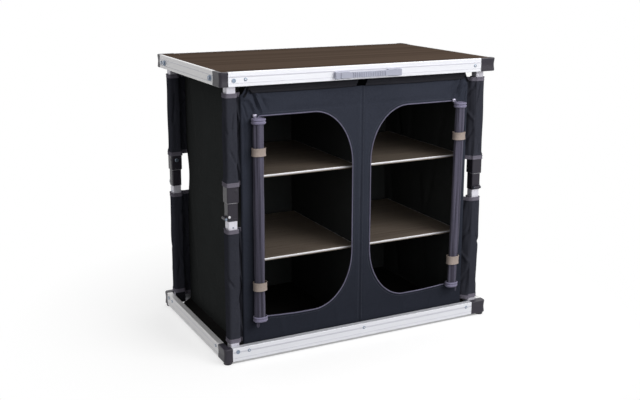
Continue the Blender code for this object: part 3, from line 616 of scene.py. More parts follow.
# Slack of each cloth: height of its waves, longest and shortest wave, and stretch along z
SLACK = {
    "front": (0.0011, 0.22, 0.035, 2.5),
    "side": (0.0030, 0.26, 0.05, 4.0),
    "rear": (0.0030, 0.34, 0.06, 3.0),
    "middle": (0.0003, 0.20, 0.06, 2.5),
    "hem band": (0.0010, 0.12, 0.03, 2.5),
    "sleeve": (0.0014, 0.065, 0.016, 3.5),
    "flap": (0.0022, 0.03, 0.010, 4.0),
}

# Folds of each wall: both ends of the line across and up, width, and height
SEAM_FOLD = (0.013, 0.09, 0.012, 0.70, 0.0045, 0.0006)
FRONT_FOLDS = [
    SEAM_FOLD, (0.07, 0.045, 0.080, 0.100, 0.006, 0.0012), (0.16, 0.045, 0.144, 0.100, 0.006, 0.0010),
    (0.25, 0.045, 0.264, 0.100, 0.006, 0.0013), (0.362, 0.800, 0.340, 0.722, 0.0034, 0.0052),
    (0.354, 0.806, 0.331, 0.728, 0.0030, -0.0058), (0.347, 0.800, 0.318, 0.716, 0.0036, 0.0040),
    (0.338, 0.794, 0.304, 0.726, 0.0034, -0.0030), (0.369, 0.790, 0.357, 0.700, 0.0028, -0.0042),
    (0.364, 0.770, 0.352, 0.640, 0.0040, 0.0022), (0.340, 0.766, 0.296, 0.748, 0.0034, 0.0022),
    (0.3655, 0.700, 0.3600, 0.560, 0.0036, -0.0022)]
SIDE_FOLDS = [
    (-0.205, 0.79, -0.150, 0.46, 0.010, 0.0030), (-0.150, 0.80, -0.02, 0.30, 0.014, 0.0024),
    (-0.19, 0.40, -0.12, 0.05, 0.011, 0.0030), (0.20, 0.78, 0.13, 0.45, 0.012, 0.0030),
    (0.06, 0.79, 0.10, 0.42, 0.016, 0.0022), (0.21, 0.36, 0.15, 0.06, 0.012, 0.0026),
    (0.02, 0.40, -0.03, 0.06, 0.015, 0.0020), (-0.16, 0.425, 0.18, 0.418, 0.006, 0.0012)]
REAR_FOLDS = [
    (-0.33, 0.78, -0.22, 0.46, 0.014, 0.0030), (0.33, 0.78, 0.20, 0.42, 0.014, 0.0030),
    (-0.30, 0.35, -0.34, 0.06, 0.012, 0.0026), (0.28, 0.36, 0.34, 0.06, 0.012, 0.0026),
    (0.02, 0.80, -0.06, 0.30, 0.018, 0.0024)]

# Piping and stitches on the front: profile, distance beside an edge, and distance before the cloth
PIPING_PROFILE = (0.0018, 0.0017)
PIPING_OUT = 0.0010
STITCHES_ASIDE = 0.0075
STITCHES_OUT = 0.0006
SEAM_STITCHES = ((0.0062, 0.055), (0.0062, 0.768))
STITCH_LENGTH = 0.0032
STITCH_GAP = 0.0012
STITCH_RADIUS = 0.00035


def sewn(name, patches, finish, replaced=(), fold=CLOTH_FOLD):
    """A piece of the cabinet, which stands on the bottom frame."""
    return make(name, patches, finish, "bottom_frame", replaced, fold)


def opening_outline():
    """Outline of the right opening as x and z: straight at the roll, two wide elliptic corners at the middle.

    Its lower edge climbs a little towards the roll, because the cloth hangs from the zip there.
    """
    quarter = np.linspace(0, math.pi / 2, 30)
    wide, tall = OPENING_CORNER
    edge = OPENING_EDGE_ROUND
    corners = [(OPENING_OUTER - edge, OPENING_HIGH - edge, edge, edge),
               (OPENING_INNER + wide, OPENING_HIGH - tall, wide, tall),
               (OPENING_INNER + wide, OPENING_LOW + tall, wide, tall),
               (OPENING_OUTER - edge, OPENING_LOW + edge, edge, edge)]
    outline = np.concatenate([
        np.stack([x + across * np.cos(quarter + turn * math.pi / 2),
                  z + high * np.sin(quarter + turn * math.pi / 2)], axis=1)
        for turn, (x, z, across, high) in enumerate(corners)])
    outline = resampled(outline, OPENING_POINTS, closed=True)
    out = smooth_step((outline[:, 0] - OPENING_RISE_FROM) / (OPENING_OUTER - OPENING_RISE_FROM))
    low = smooth_step((OPENING_LOW + tall - outline[:, 1]) / tall)
    outline[:, 1] += OPENING_RISE * out * low
    return outline


def panel_rays():
    """Rays round the opening's middle: their angles, and how far off the opening and the half's edge lie."""
    outline = opening_outline() - OPENING_MIDDLE
    angle = np.arctan2(outline[:, 1], outline[:, 0])
    order = np.argsort(angle)
    reach = np.linalg.norm(outline, axis=1)

    def opening(turn):
        return np.interp(turn, angle[order], reach[order], period=2 * math.pi)

    def edge(turn):
        across, up = (np.where(np.abs(part) < 1e-9, 1e-9, part) for part in (np.cos(turn), np.sin(turn)))
        side = np.where(across > 0, SIDE_X - OPENING_MIDDLE[0], -OPENING_MIDDLE[0])
        level = np.where(up > 0, HIGH_Z - OPENING_MIDDLE[1], LOW_Z - OPENING_MIDDLE[1])
        return np.minimum(side / across, level / up)

    fine = np.linspace(-math.pi, math.pi, 6000)
    rays = np.stack([np.cos(fine), np.sin(fine)], axis=1)
    gone = 0
    for far in (opening, edge):
        steps = np.linalg.norm(np.diff(rays * far(fine)[:, None], axis=0), axis=1)
        gone = gone + np.concatenate([[0], np.cumsum(steps)])
    turn = np.interp(np.linspace(0, gone[-1], PANEL_COLUMNS, endpoint=False), gone, fine)
    for x in (0.0, SIDE_X):
        for z in (LOW_Z, HIGH_Z):
            corner = math.atan2(z - OPENING_MIDDLE[1], x - OPENING_MIDDLE[0])
            turn[np.argmin(np.abs(turn - corner))] = corner
    return turn, opening(turn), edge(turn)


def droop(across, up):
    """How far the cloth hangs down near a front corner's top: nothing far from the corner, most at its tip.

    across is the share of the way to the corner's edge.
    """
    return DROOP * smooth_step(across) * smooth_step((up - DROOP_FROM_Z) / (HIGH_Z - DROOP_FROM_Z))


def corner_turn(across):
    """How far a wall turns round the cabinet's corner, on a quarter circle, at a distance from its middle."""
    lean = np.clip((across - SIDE_X + CORNER_ROUND) / CORNER_ROUND, 0, 1)
    return CORNER_ROUND * (1 - np.sqrt(1 - lean ** 2))


def rear_pull(z, short):
    """How far a rear corner is drawn in at a height, and at a distance short of it: most at the knee."""
    return REAR_PULL * bell(z - KNEE_HEIGHT, KNEE_SPREAD) * smooth_step(1 - short / REAR_PULL_REACH)


def front_relief(x, z, side):
    """How far the front cloth stands out at x and z, with x counted from the middle to either side.

    Slack and folds, less a groove along the middle seam and a dip above the opening. Beside the roll the
    cloth stands out by a trifle at most, and at the cabinet's corner by nothing.
    """
    out = waves(x + 3 * side, z, 5 + side, *SLACK["front"]) + creases(x, z, FRONT_FOLDS)
    out -= SEAM_GROOVE * bell(x, SEAM_GROOVE_WIDTH)
    above = np.clip(z - OPENING_HIGH, 0, None)
    out -= DIP * bell(above - DIP_ABOVE, DIP_WIDTH) * smooth_step((DIP_UNTIL_X - x) / DIP_FADE)
    free = 1 - bell(x - ROLL_SIDE_X, ROLL_SIDE_WIDTH) * smooth_step((ROLL_SIDE_TOP - z) / ROLL_SIDE_FADE)
    out = np.minimum(out, ROLL_SIDE_RELIEF) * (1 - free) + out * free
    return out * smooth_step((SIDE_X - x) / FRONT_HELD)


def front_half(side):
    """Half of the front panel: rays from the opening's edge to the half's edge, moved out by its relief.

    Its outer edge turns back round the cabinet's corner, droops towards the top, and flares on the left.
    """
    turn, opening, edge = panel_rays()
    share = np.linspace(0, 1, PANEL_ROWS)[:, None] ** PANEL_CROWDING
    reach = opening + share * (edge - opening)
    x = OPENING_MIDDLE[0] + reach * np.cos(turn)
    z = OPENING_MIDDLE[1] + reach * np.sin(turn)
    y = FRONT_Y - front_relief(x, z, side) + corner_turn(x)
    wide = x + CORNER_FLARE[side] * smooth_step((x - FLARE_FROM_X) / (SIDE_X - FLARE_FROM_X))
    z = z - droop((x - DROOP_FROM_X) / (SIDE_X - DROOP_FROM_X), z)
    return cloth(grid_of(side * wide, y, z), ring=True)


def held_edges(across, up):
    """One in the middle of a wall and nought at its sewn side edges, its lower edge and its upper edge."""
    inside = [across - across.min(), across.max() - across, up - LOW_Z, HIGH_Z - up]
    return math.prod(smooth_step(distance / WALL_HELD) for distance in inside)


def side_wall(side):
    """A side wall from the front corner to the rear one: a flat sheet moved out by its slack and folds.

    Three shallow sags draw it in. Its front edge flares on the left and droops at the top, and its rear edge
    is pulled in at the knee.
    """
    y, z = np.meshgrid(np.linspace(FRONT_Y + CORNER_ROUND, REAR_Y - CORNER_ROUND, 110),
                       np.linspace(LOW_Z, HIGH_Z, 170))
    out = waves(y + side, z, 21 + side, *SLACK["side"]) + creases(y, z, SIDE_FOLDS)
    sag = SIDE_SAG * np.sin(3 * math.pi * (z - LOW_Z) / (HIGH_Z - LOW_Z)) ** 2
    x = SIDE_X + (np.maximum(out, -SIDE_INWARD) - sag) * held_edges(y, z)
    x += CORNER_FLARE[side] * smooth_step((FRONT_Y + FLARE_REACH - y) / FLARE_REACH)
    x -= rear_pull(z, REAR_Y - y)
    z = z - droop((FRONT_Y + CORNER_ROUND + DROOP_REACH - y) / DROOP_REACH, z)
    return cloth(grid_of(side * x, y, z))


def rear_wall():
    """The rear wall, with its own slack, folds and seam. Its two edges turn forward round the corners."""
    quarter = np.linspace(0, math.pi / 2, 6)
    flat = SIDE_X - CORNER_ROUND
    span = np.concatenate([-SIDE_X + CORNER_ROUND * (1 - np.cos(quarter))[:-1], np.linspace(-flat, flat, 150),
                           SIDE_X - CORNER_ROUND * (1 - np.sin(quarter))[1:]])
    x, z = np.meshgrid(span, np.linspace(LOW_Z, HIGH_Z, 170))
    out = waves(x, z, 33, *SLACK["rear"]) + creases(x, z, REAR_FOLDS)
    out += REAR_SEAM * bell(x, REAR_SEAM_WIDTH)
    out -= REAR_GROOVE * bell(np.abs(x) - REAR_GROOVE_ASIDE, REAR_GROOVE_WIDTH)
    y = REAR_Y - corner_turn(np.abs(x)) + np.maximum(out, -REAR_INWARD) * held_edges(x, z)
    drawn = x * (1 - rear_pull(z, SIDE_X - np.abs(x)) / SIDE_X)
    return cloth(grid_of(drawn, y, z))


def middle_wall():
    """The wall between the two halves, drawn tight."""
    y, z = np.meshgrid(np.linspace(FRONT_Y + 0.004, REAR_Y - 0.001, 60), np.linspace(LOW_Z, HIGH_Z, 110))
    x = waves(y, z, 41, *SLACK["middle"]) * held_edges(y, z)
    return cloth(grid_of(x, y, z), MIDDLE_WALL_CLOTH)


def stitched(path, closed=False):
    """Thread stitches along a path: six-sided beads, thick in the middle and thin where they enter."""
    total = np.linalg.norm(np.diff(path, axis=0), axis=1).sum()
    places = resampled(path, int(total / (STITCH_LENGTH + STITCH_GAP)), closed)
    ahead = steps_along(places, closed)
    side = np.cross(ahead, FORWARD)
    turn = np.linspace(0, 2 * math.pi, 6, endpoint=False)
    along = STITCH_LENGTH * np.array([-0.5, -0.3, 0.3, 0.5])
    thick = STITCH_RADIUS * np.array([0.45, 1.0, 1.0, 0.45])[:, None]
    grid = (places[:, None, None] + ahead[:, None, None] * along[None, :, None, None]
            + side[:, None, None] * (thick * np.cos(turn))[None, :, :, None]
            + np.array(FORWARD) * (thick * np.sin(turn))[None, :, :, None])
    return [surface(one) for one in grid]


def on_front(outline, side, out):
    """A path of x and z laid on the front cloth, at a distance before it."""
    x, z = outline[:, 0], outline[:, 1]
    return np.stack([side * x, FRONT_Y - front_relief(x, z, side) - out, z], axis=1)


def widened(outline, distance):
    """A closed outline of x and z moved out along its own normals."""
    ahead = steps_along(outline, True)
    normal = np.stack([ahead[:, 1], -ahead[:, 0]], axis=1)
    if (normal * (outline - outline.mean(axis=0))).sum() < 0:
        normal = -normal
    return outline + normal * distance


for side, hand in HANDS:
    panel = sewn(f"front_panel_{hand}", [front_half(side)], SLATE_CLOTH,
                 ["fabric_cabinet"] if side == 1 else [])
    outline = opening_outline()
    edge = on_front(outline, side, PIPING_OUT)
    piping = sewn(f"opening_piping_{hand}",
                  [carried(edge, FORWARD, rounded_outline(*PIPING_PROFILE), closed=True)], PIPING_CLOTH)
    round_opening = resampled(widened(outline, STITCHES_ASIDE), 900, True)
    seams = stitched(on_front(round_opening, side, STITCHES_OUT), closed=True)
    seams += stitched(on_front(np.linspace(*SEAM_STITCHES, 300), side, STITCHES_OUT))
    stitches = sewn(f"front_stitching_{hand}", seams, THREAD)
    wall = sewn(f"side_wall_{hand}", [side_wall(side)], SIDE_CLOTH)
rear = sewn("rear_wall", [rear_wall()], SIDE_CLOTH)
middle = sewn("middle_wall", [middle_wall()], SIDE_CLOTH)


# Hem band under the top rail, in two lengths, with painted shade at the middle: a near-black patch in the gap

BAND_SPAN = (0.0150, 0.3705)
BAND_LEVEL = 0.7792
BAND_HALF = 0.0128
BAND_END_HALF = 0.0030
BAND_NARROWS_FROM, BAND_NARROWS_IN = 0.346, 0.016
BAND_THICK = 0.0019
BAND_RIDGE = 0.0006
BAND_RIDGE_TURNS = 640
BAND_OUT = 0.0032
BAND_SAG, BAND_SAG_SPAN = 0.0015, 0.36
BAND_SLANT, BAND_SLANT_SHIFT = 0.0060, 0.0030
GAP_PATH = ((-0.0230, FRONT_Y - 0.0026, 0.7800), (0.0190, FRONT_Y - 0.0026, 0.7800))
GAP_PROFILE = (0.0126, 0.0008, 4, 16)


def hem_band(side):
    """A folded tape along the top of the front: three soft ridges, and a thin end that follows the droop.

    Its inner end is cut at a slant.
    """
    x = np.linspace(*BAND_SPAN, 150)
    half = BAND_HALF - (BAND_HALF - BAND_END_HALF) * smooth_step((x - BAND_NARROWS_FROM) / BAND_NARROWS_IN)
    top = HIGH_Z - droop((x - DROOP_FROM_X) / (SIDE_X - DROOP_FROM_X), HIGH_Z)
    sag = BAND_SAG * np.sin(math.pi * x / BAND_SAG_SPAN)
    level = np.minimum(BAND_LEVEL - sag + BAND_HALF - half, top - half)
    up, out = rounded_outline(BAND_HALF, BAND_THICK, 3.5, 36).T
    out = out + BAND_RIDGE * np.cos(up * BAND_RIDGE_TURNS)
    y = FRONT_Y - BAND_OUT - waves(x, x * 0, 55 + side, *SLACK["hem band"])
    grid = grid_of(side * x[:, None], y[:, None] - out, level[:, None] + half[:, None] / BAND_HALF * up)
    slant = smooth_step((0.030 - np.abs(grid[:, :, 0])) / 0.015)
    grid[:, :, 0] += slant * (BAND_SLANT * (grid[:, :, 2] - BAND_LEVEL) / BAND_HALF - BAND_SLANT_SHIFT)
    return surface(grid)


for side, hand in HANDS:
    sewn(f"top_hem_band_{hand}", [hem_band(side)], BLACK_TAPE)
# Painted shade: a near-black patch in the gap between the two bands.
gap = carried(np.linspace(*GAP_PATH, 12), FORWARD, rounded_outline(*GAP_PROFILE))
sewn("top_hem_gap_painted_shade", [gap], GAP_PAINTED_SHADE)


# Rolled doors

# A roll's fold, given as the cloth's. Nothing here flattens the roll
ROLL_FOLD = (0.0556, 0.038)
ROLL_TURNS = 3.4
ROLL_PITCH = 0.0036
ROLL_DEPTH_SHARE = 0.8
ROLL_CLOTH = 0.0016
ROLL_COLUMNS = 150
ROLL_ROWS = 130
ROLL_ROOM = (0.0009, 0.0004)
ROLL_PINCH, ROLL_PINCH_SPREAD = 0.06, 0.020
ROLL_BANDS = {-1: ((0.5940, 0.6165), (0.2050, 0.2290)), 1: ((0.5840, 0.6070), (0.1870, 0.2130))}
ROLL_LEAN = {-1: 0.0, 1: 0.011}
ROLL_LEAN_POWER = 1.3
# Rings round a roll: distance out, thickness, rows and bulge
ZIP_RING = (0.0004, 0.0012, 9, 0.0022)
ELASTIC_RING = (0.0030, 0.0011, 12, -0.0005)
LOW_ZIP_RINGS = ((0.0, 0.0075), (0.0082, 0.0150))
HIGH_ZIP_RINGS = ((0.0, 0.0065), (0.0074, 0.0150))
# A zip slider's height, half width and half depth, from below
SLIDER_PROFILE = [(-0.0050, 0.0030, 0.0016), (-0.0046, 0.0044, 0.0026), (-0.0020, 0.0050, 0.0028),
                  (0.0010, 0.0062, 0.0032), (0.0036, 0.0066, 0.0030), (0.0048, 0.0050, 0.0020)]
SLIDER_PLACE = {-1: (-0.340, FRONT_Y - 0.0045, 0.7035), 1: (0.318, FRONT_Y - 0.0045, 0.7035)}
TAB_WIDE = {-1: 0.009, 1: 0.005}
TAB_LONG = 0.020
TAB_THICK = 0.0014
TAB_ASIDE, TAB_FORWARD = 0.62, 0.55
ZIP_END_IN = 0.0012
ZIP_END_PROFILE = (0.0013, 0.0016, 2, 8)


def roll_box(side):
    """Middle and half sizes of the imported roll, and the heights of its two ends."""
    low, high = box("rolled_door_left" if side < 0 else "rolled_door_right")
    return (low + high) / 2, (high - low) / 2, low[2], high[2]


def roll_shift(side, z):
    """How far a roll leans towards the middle at a height, and how thick it is there against its middle."""
    _, _, low, high = roll_box(side)
    lean = -side * ROLL_LEAN[side] * ((high - z) / (high - low)) ** ROLL_LEAN_POWER
    pinch = sum(bell(z - (lower + upper) / 2, ROLL_PINCH_SPREAD) for lower, upper in ROLL_BANDS[side])
    slack = 0.02 * np.sin(23 * z + side) + 0.015 * np.sin(41 * z + 2)
    return lean[:, None], (1 - ROLL_PINCH * pinch + slack * (1 - pinch))[:, None]


def roll_spiral(side, z):
    """Points of the wound cloth: a flattened spiral that ends at the back, with flutes down the roll."""
    middle, half, _, _ = roll_box(side)
    angle = np.linspace(0, 2 * math.pi * ROLL_TURNS, ROLL_COLUMNS)
    inner = ROLL_PITCH * (ROLL_TURNS - angle / (2 * math.pi))
    facing = side * (angle - angle[-1]) + math.pi / 2
    lean, thick = roll_shift(side, z)
    z = z[:, None]
    flutes = (0.00075 * np.sin(5 * facing + 2.2 * np.sin(5.1 * z) + side)
              + 0.00050 * np.sin(9 * facing - 5 * z + 1.7 * np.sin(9 * z))
              - 0.0014 * bell(np.sin((facing - 4.4 + 1.6 * (z - 0.3)) / 2), 0.12))
    across = (half[0] - ROLL_CLOTH / 2 - ROLL_ROOM[0]) * thick - inner + flutes
    deep = (half[1] - ROLL_CLOTH / 2 - ROLL_ROOM[1]) * thick - ROLL_DEPTH_SHARE * inner + flutes
    return grid_of(middle[0] + lean + across * np.cos(facing), middle[1] + deep * np.sin(facing), z)


def ring_round(side, low, high, out, thickness, rows, bulge):
    """A band round a roll: a rounded outline a little wider than the roll, carried up, with a soft bulge."""
    middle, half, _, _ = roll_box(side)
    z = np.linspace(low, high, rows)
    lean, thick = roll_shift(side, z)
    across, deep = rounded_outline(half[0], half[1], 2.3, 64).T
    swell = out + bulge * np.sin(math.pi * (z - low) / (high - low))
    share = thick + swell[:, None] / half[0]
    y = middle[1] + np.clip(share * deep, -1, half[1])
    return cloth(grid_of(middle[0] + lean + share * across, y, z[:, None]), thickness, ring=True)


def zip_slider(place):
    """A zip slider: a small waisted body with a rounded crown, as a stack of rounded outlines."""
    z, wide, deep = np.array(SLIDER_PROFILE).T[:, :, None]
    across, out = rounded_outline(1, 1, 3, 20).T
    return surface(grid_of(place[0] + wide * across, place[1] + deep * out, place[2] + z))


def pull_tab(side):
    """A zip pull tab that hangs below the roll: a strip that widens and then ends in a rounded point."""
    middle, half, low, _ = roll_box(side)
    lean, _ = roll_shift(side, np.array([low]))
    down = np.linspace(0, 1, 18)[:, None]
    point = np.sqrt(np.clip(1 - np.clip((down - 0.72) / 0.285, 0, 1) ** 2, 0.01, 1))
    width = TAB_WIDE[side] * (0.7 + 0.3 * smooth_step(down * 2)) * point
    across = np.linspace(-0.5, 0.5, 8)
    x = middle[0] + lean[0] + side * half[0] * TAB_ASIDE + width * across + 0.001 * np.sin(3 * down)
    y = middle[1] - half[1] * TAB_FORWARD - 0.0012 * np.cos(across * math.pi)
    return cloth(grid_of(x, y, low + 0.004 - TAB_LONG * down), TAB_THICK)


for side, hand in HANDS:
    _, _, low, high = roll_box(side)
    winding = roll_spiral(side, np.linspace(low + 0.001, high - 0.001, ROLL_ROWS))
    roll = sewn(f"door_roll_{hand}", [cloth(winding, ROLL_CLOTH)], DOOR_CLOTH,
                [f"rolled_door_{hand}"], ROLL_FOLD)
    spans = [(low + start, low + stop) for start, stop in LOW_ZIP_RINGS]
    spans += [(high - stop, high - start) for start, stop in HIGH_ZIP_RINGS]
    zip_tape = [ring_round(side, *span, *ZIP_RING) for span in spans]
    for level in (low + ZIP_END_IN, high - ZIP_END_IN):
        spiral = roll_spiral(side, np.array([level, level + 0.0001]))[0]
        zip_tape.append(carried(spiral, UP, rounded_outline(*ZIP_END_PROFILE)))
    binding = sewn(f"door_zip_tape_{hand}", zip_tape, BINDING_CLOTH, fold=ROLL_FOLD)
    elastics = [ring_round(side, *span, *ELASTIC_RING) for span in ROLL_BANDS[side]]
    bands = sewn(f"door_bands_{hand}", elastics, BAND_CLOTH, fold=ROLL_FOLD)
    slider = sewn(f"door_zip_slider_{hand}", [zip_slider(SLIDER_PLACE[side])], SLIDER_METAL, fold=ROLL_FOLD)
    tab = sewn(f"door_pull_tab_{hand}", [pull_tab(side)], DOOR_CLOTH, fold=ROLL_FOLD)


# Leg sleeves with their hems, and the flaps that join them to the cabinet

SLEEVE_CLOTH_THICK = 0.0010
SLEEVE_COLUMNS = 76
SLEEVE_SHIFT = 0.0005
SLEEVE_GIRTH = 0.13
TUBE_SLEEVE_HALF = 0.0170
HEM_SLEEVE_HALF = 0.0180
SLEEVE_ROOM = 0.0006
COLLAR_HALF = 0.0175
COLLAR_TOP = 0.5285
SLEEVE_PARTS = {
    "upper": (0.5125, 0.769, "upper_tube"),
    "lower": (0.0570, 0.389, "lower_tube"),
}
SLEEVE_FOLDS = 11
SLEEVE_FOLD_WIDTH = 0.0036
SLEEVE_FOLD_LEAN = 0.035
SLEEVE_FOLD_LONG = (0.03, 0.10)
SLEEVE_FOLD_HIGH = (-0.0050, 0.0026)
SLEEVE_RELIEF = (-0.0030, 0.0007)
SLEEVE_HELD = 0.03
HEM_HEIGHT = 0.012
HEM_THICK = 0.0008
HEM_RIDGE = 0.0005

# Tails below the rear sleeves: hand, middle across, and their place from front to rear
TAILS = (("left", -0.4135, 0.2243), ("right", 0.4090, 0.2288))
TAIL_LOW, TAIL_HIGH = 0.0195, 0.0585
TAIL_HALF_LOW, TAIL_HALF_HIGH = 0.0178, 0.0155
TAIL_THICK = 0.0008
TAIL_SWELL = 0.0012

# Three places on each flap, as x and y, and its folds: start and end as share across and height, and depth
FLAP_LINES = {
    "front_left": ((-0.3930, -0.2200), (-0.3850, -0.2230), (-0.3790, -0.2280)),
    "front_right": ((0.3992, -0.2408), (0.3830, -0.2290), (0.3704, -0.2010)),
    "rear_right": ((0.3930, 0.2545), (0.3830, 0.2520), (0.3660, 0.2478)),
    "rear_left": ((-0.3975, 0.2500), (-0.3850, 0.2500), (-0.3660, 0.2478)),
}
FLAP_FOLDS = [(0.1, 0.235, 0.9, 0.185, 0.0040), (0.9, 0.165, 0.2, 0.130, -0.0036),
              (0.2, 0.090, 0.8, 0.040, 0.0034), (0.5, 0.330, 0.9, 0.270, 0.0030)]
FLAP_FOLD_WIDTH = 0.0040
FLAP_LOW = {"front": 0.0520, "rear": 0.0370}
FLAP_HEM_THICK = 0.0026


def leg_frame(corner):
    """Matrix from a leg's own axes to the cupboard's. X runs in along its rail, Y runs in from its rail."""
    low, high = box(f"leg_{corner}_upper_tube")
    centre = (low + high) / 2
    turn = Matrix.Rotation(CORNERS.index(corner) * math.pi / 2, 4, "Z")
    return Matrix.Translation(Vector((centre[0], centre[1], 0))) @ turn


def sleeve_half(part, z):
    """Half width of a sleeve at a height: slack on the tube, wider round the collar and at its own ends."""
    low, high, _ = SLEEVE_PARTS[part]
    slack = 0.0006 * np.sin(31 * z) * bell(z - (low + high) / 2, 0.1)
    wide = TUBE_SLEEVE_HALF + 0.0005 * bell(z - high, 0.010) + slack
    if part == "upper":
        return wide + (HEM_SLEEVE_HALF - TUBE_SLEEVE_HALF) * smooth_step((0.540 - z) / 0.014)
    return wide + 0.0006 * bell(z - low, 0.010)


def core_half(part, z):
    """Half width that a sleeve keeps outside of: its tube's, or the knee collar's where it covers that."""
    low, high = box("leg_front_left_upper_tube")
    covered = (part == "upper") & (z < COLLAR_TOP)
    return SLEEVE_ROOM + np.where(covered, COLLAR_HALF, (high[0] - low[0]) / 2)


def sleeve_grid(part, z, seed, out=0.0, power=5.0, relieved=1.0):
    """Points of a sleeve round its leg's axis: a rounded square whose faces carry soft slanting folds.

    Each point lies on a ray from the axis, at the greater of the sleeve's reach and that of what it covers.
    """
    turn = np.linspace(0, 2 * math.pi, SLEEVE_COLUMNS, endpoint=False) + math.pi / SLEEVE_COLUMNS
    s, height = np.meshgrid(turn / (2 * math.pi) * SLEEVE_GIRTH, z)
    low, high, _ = SLEEVE_PARTS[part]
    hold = smooth_step((height - low) / SLEEVE_HELD) * smooth_step((high - height) / SLEEVE_HELD)
    relief = waves(s, height, seed, *SLACK["sleeve"])
    draw = np.random.RandomState(seed + 100)
    for _ in range(SLEEVE_FOLDS):
        start = (draw.uniform(0, SLEEVE_GIRTH), draw.uniform(low, high))
        lean = draw.uniform(-SLEEVE_FOLD_LEAN, SLEEVE_FOLD_LEAN)
        end = (start[0] + lean, start[1] + draw.uniform(*SLEEVE_FOLD_LONG))
        relief += crease(s, height, start, end, SLEEVE_FOLD_WIDTH, draw.uniform(*SLEEVE_FOLD_HIGH))
    relief = np.clip(relief, *SLEEVE_RELIEF) * hold * relieved

    def reach_of(half, edge):
        rounded = (np.abs(np.cos(turn)) ** edge + np.abs(np.sin(turn)) ** edge) ** (1 / edge)
        return half / rounded

    own = reach_of((sleeve_half(part, z) + out)[:, None] + relief, power)
    reach = np.maximum(own, reach_of((core_half(part, z) + out)[:, None], 12))
    return grid_of(reach * np.cos(turn), reach * np.sin(turn) + SLEEVE_SHIFT, height)


def hem_grid(part, low, seed):
    """Points of a hem tape round a sleeve: two soft ridges, one at each edge of the tape."""
    share = np.linspace(0, 1, 9)
    grid = sleeve_grid(part, low + share * HEM_HEIGHT, seed, 0.0007, 4.0, 0.0)
    ridge = HEM_RIDGE * (bell(share - 0.15, 0.16) + bell(share - 0.85, 0.16))
    grid[:, :, :2] *= (1 + ridge / TUBE_SLEEVE_HALF)[:, None, None]
    return grid


def hem_starts(low, high):
    """The heights at which the lower and the upper hem of a piece begin, each 1 mm past the piece."""
    return low - 0.001, high + 0.001 - HEM_HEIGHT


def flap_grid(corner, z, seed):
    """Points of a flap: a curve through its places, carried up, with folds that run up the cloth.

    The curve starts at the first place and ends at the third, and the second draws it aside.
    """
    first, second, third = (np.array(point) for point in FLAP_LINES[corner])
    share = np.linspace(0, 1, 16)[:, None]
    line = (1 - share) ** 2 * first + 2 * share * (1 - share) * second + share ** 2 * third
    ahead = third - first
    wide = np.linalg.norm(ahead)
    s, height = np.meshgrid(share[:, 0] * wide, z)
    folds = [(x1 * wide, z.min() + z1, x2 * wide, z.min() + z2, FLAP_FOLD_WIDTH, high)
             for x1, z1, x2, z2, high in FLAP_FOLDS]
    relief = waves(s, height, seed, *SLACK["flap"]) + creases(s, height, folds)
    return grid_of(line[:, 0] + relief * ahead[1] / wide, line[:, 1] - relief * ahead[0] / wide, height)


for number, corner in enumerate(CORNERS):
    place = leg_frame(corner)
    for part, (low, high, tube) in SLEEVE_PARTS.items():
        body = f"leg_{corner}_{part}"
        seed = 10 * number + (part == "lower")
        grid = sleeve_grid(part, np.linspace(low, high, int((high - low) / 0.0038)), seed)
        sleeve = make(f"sleeve_{corner}_{part}", [moved(cloth(grid, SLEEVE_CLOTH_THICK, ring=True), place)],
                      SLEEVE_CLOTH, body)
        hems = [moved(cloth(hem_grid(part, start, seed), HEM_THICK, ring=True), place)
                for start in hem_starts(low, high)]
        hem = make(f"sleeve_hems_{corner}_{part}", hems, HEM_CLOTH, body)

for hand, middle, front in TAILS:
    share, z = np.meshgrid(np.linspace(-1, 1, 16), np.linspace(TAIL_LOW, TAIL_HIGH, 18))
    up = (z - TAIL_LOW) / (TAIL_HIGH - TAIL_LOW)
    x = middle + share * (TAIL_HALF_LOW + (TAIL_HALF_HIGH - TAIL_HALF_LOW) * up)
    y = front - TAIL_SWELL * np.sin(math.pi * up) * (1 + 0.3 * np.sin(5 * share))
    tail = make(f"rear_corner_tail_{hand}", [cloth(grid_of(x, y, z), TAIL_THICK)], BLACK_TAPE,
                f"leg_rear_{hand}_lower")

for number, corner in enumerate(CORNERS):
    end, hand = corner.split("_")
    for part, (low, high, _) in SLEEVE_PARTS.items():
        seed = 60 + 10 * number + (part == "lower")
        if part == "lower":
            low = FLAP_LOW[end]
        levels = np.linspace(low, high, int((high - low) / 0.004))
        flap = sewn(f"flap_{corner}_{part}", [cloth(flap_grid(corner, levels, seed))], SLEEVE_CLOTH)
        hems = [cloth(flap_grid(corner, np.linspace(start, start + HEM_HEIGHT, 8), seed), FLAP_HEM_THICK)
                for start in hem_starts(low, high)]
        hem = sewn(f"flap_hems_{corner}_{part}", hems, HEM_CLOTH)


# Bright trims on the shelves: along the front edge, and a runner along each side of the top

EDGE_TRIM_PROFILE = (0.0024, 0.0010, 3.0, 20)
RUNNER_PROFILE = (0.0009, 0.0005, 3, 10)

for level in ("lower", "upper"):
    for _, hand in HANDS:
        low, high = box(f"shelf_{level}_{hand}")
        edge_y, edge_z = low[1] + 0.0003, (low[2] + high[2]) / 2 + 0.0010
        edge = np.linspace((low[0] + 0.001, edge_y, edge_z), (high[0] - 0.001, edge_y, edge_z), 90)
        trims = [carried(edge, FORWARD, rounded_outline(*EDGE_TRIM_PROFILE))]
        top = high[2] - 0.0002
        for x in (low[0] + 0.0012, high[0] - 0.0012):
            runner = np.linspace((x, low[1] + 0.002, top), (x, high[1] - 0.004, top), 60)
            trims.append(carried(runner, UP, rounded_outline(*RUNNER_PROFILE)))
        make(f"shelf_trim_{level}_{hand}", trims, TRIM_METAL, f"shelf_{level}_{hand}_body")


# Lines, screws and bolts of the rails

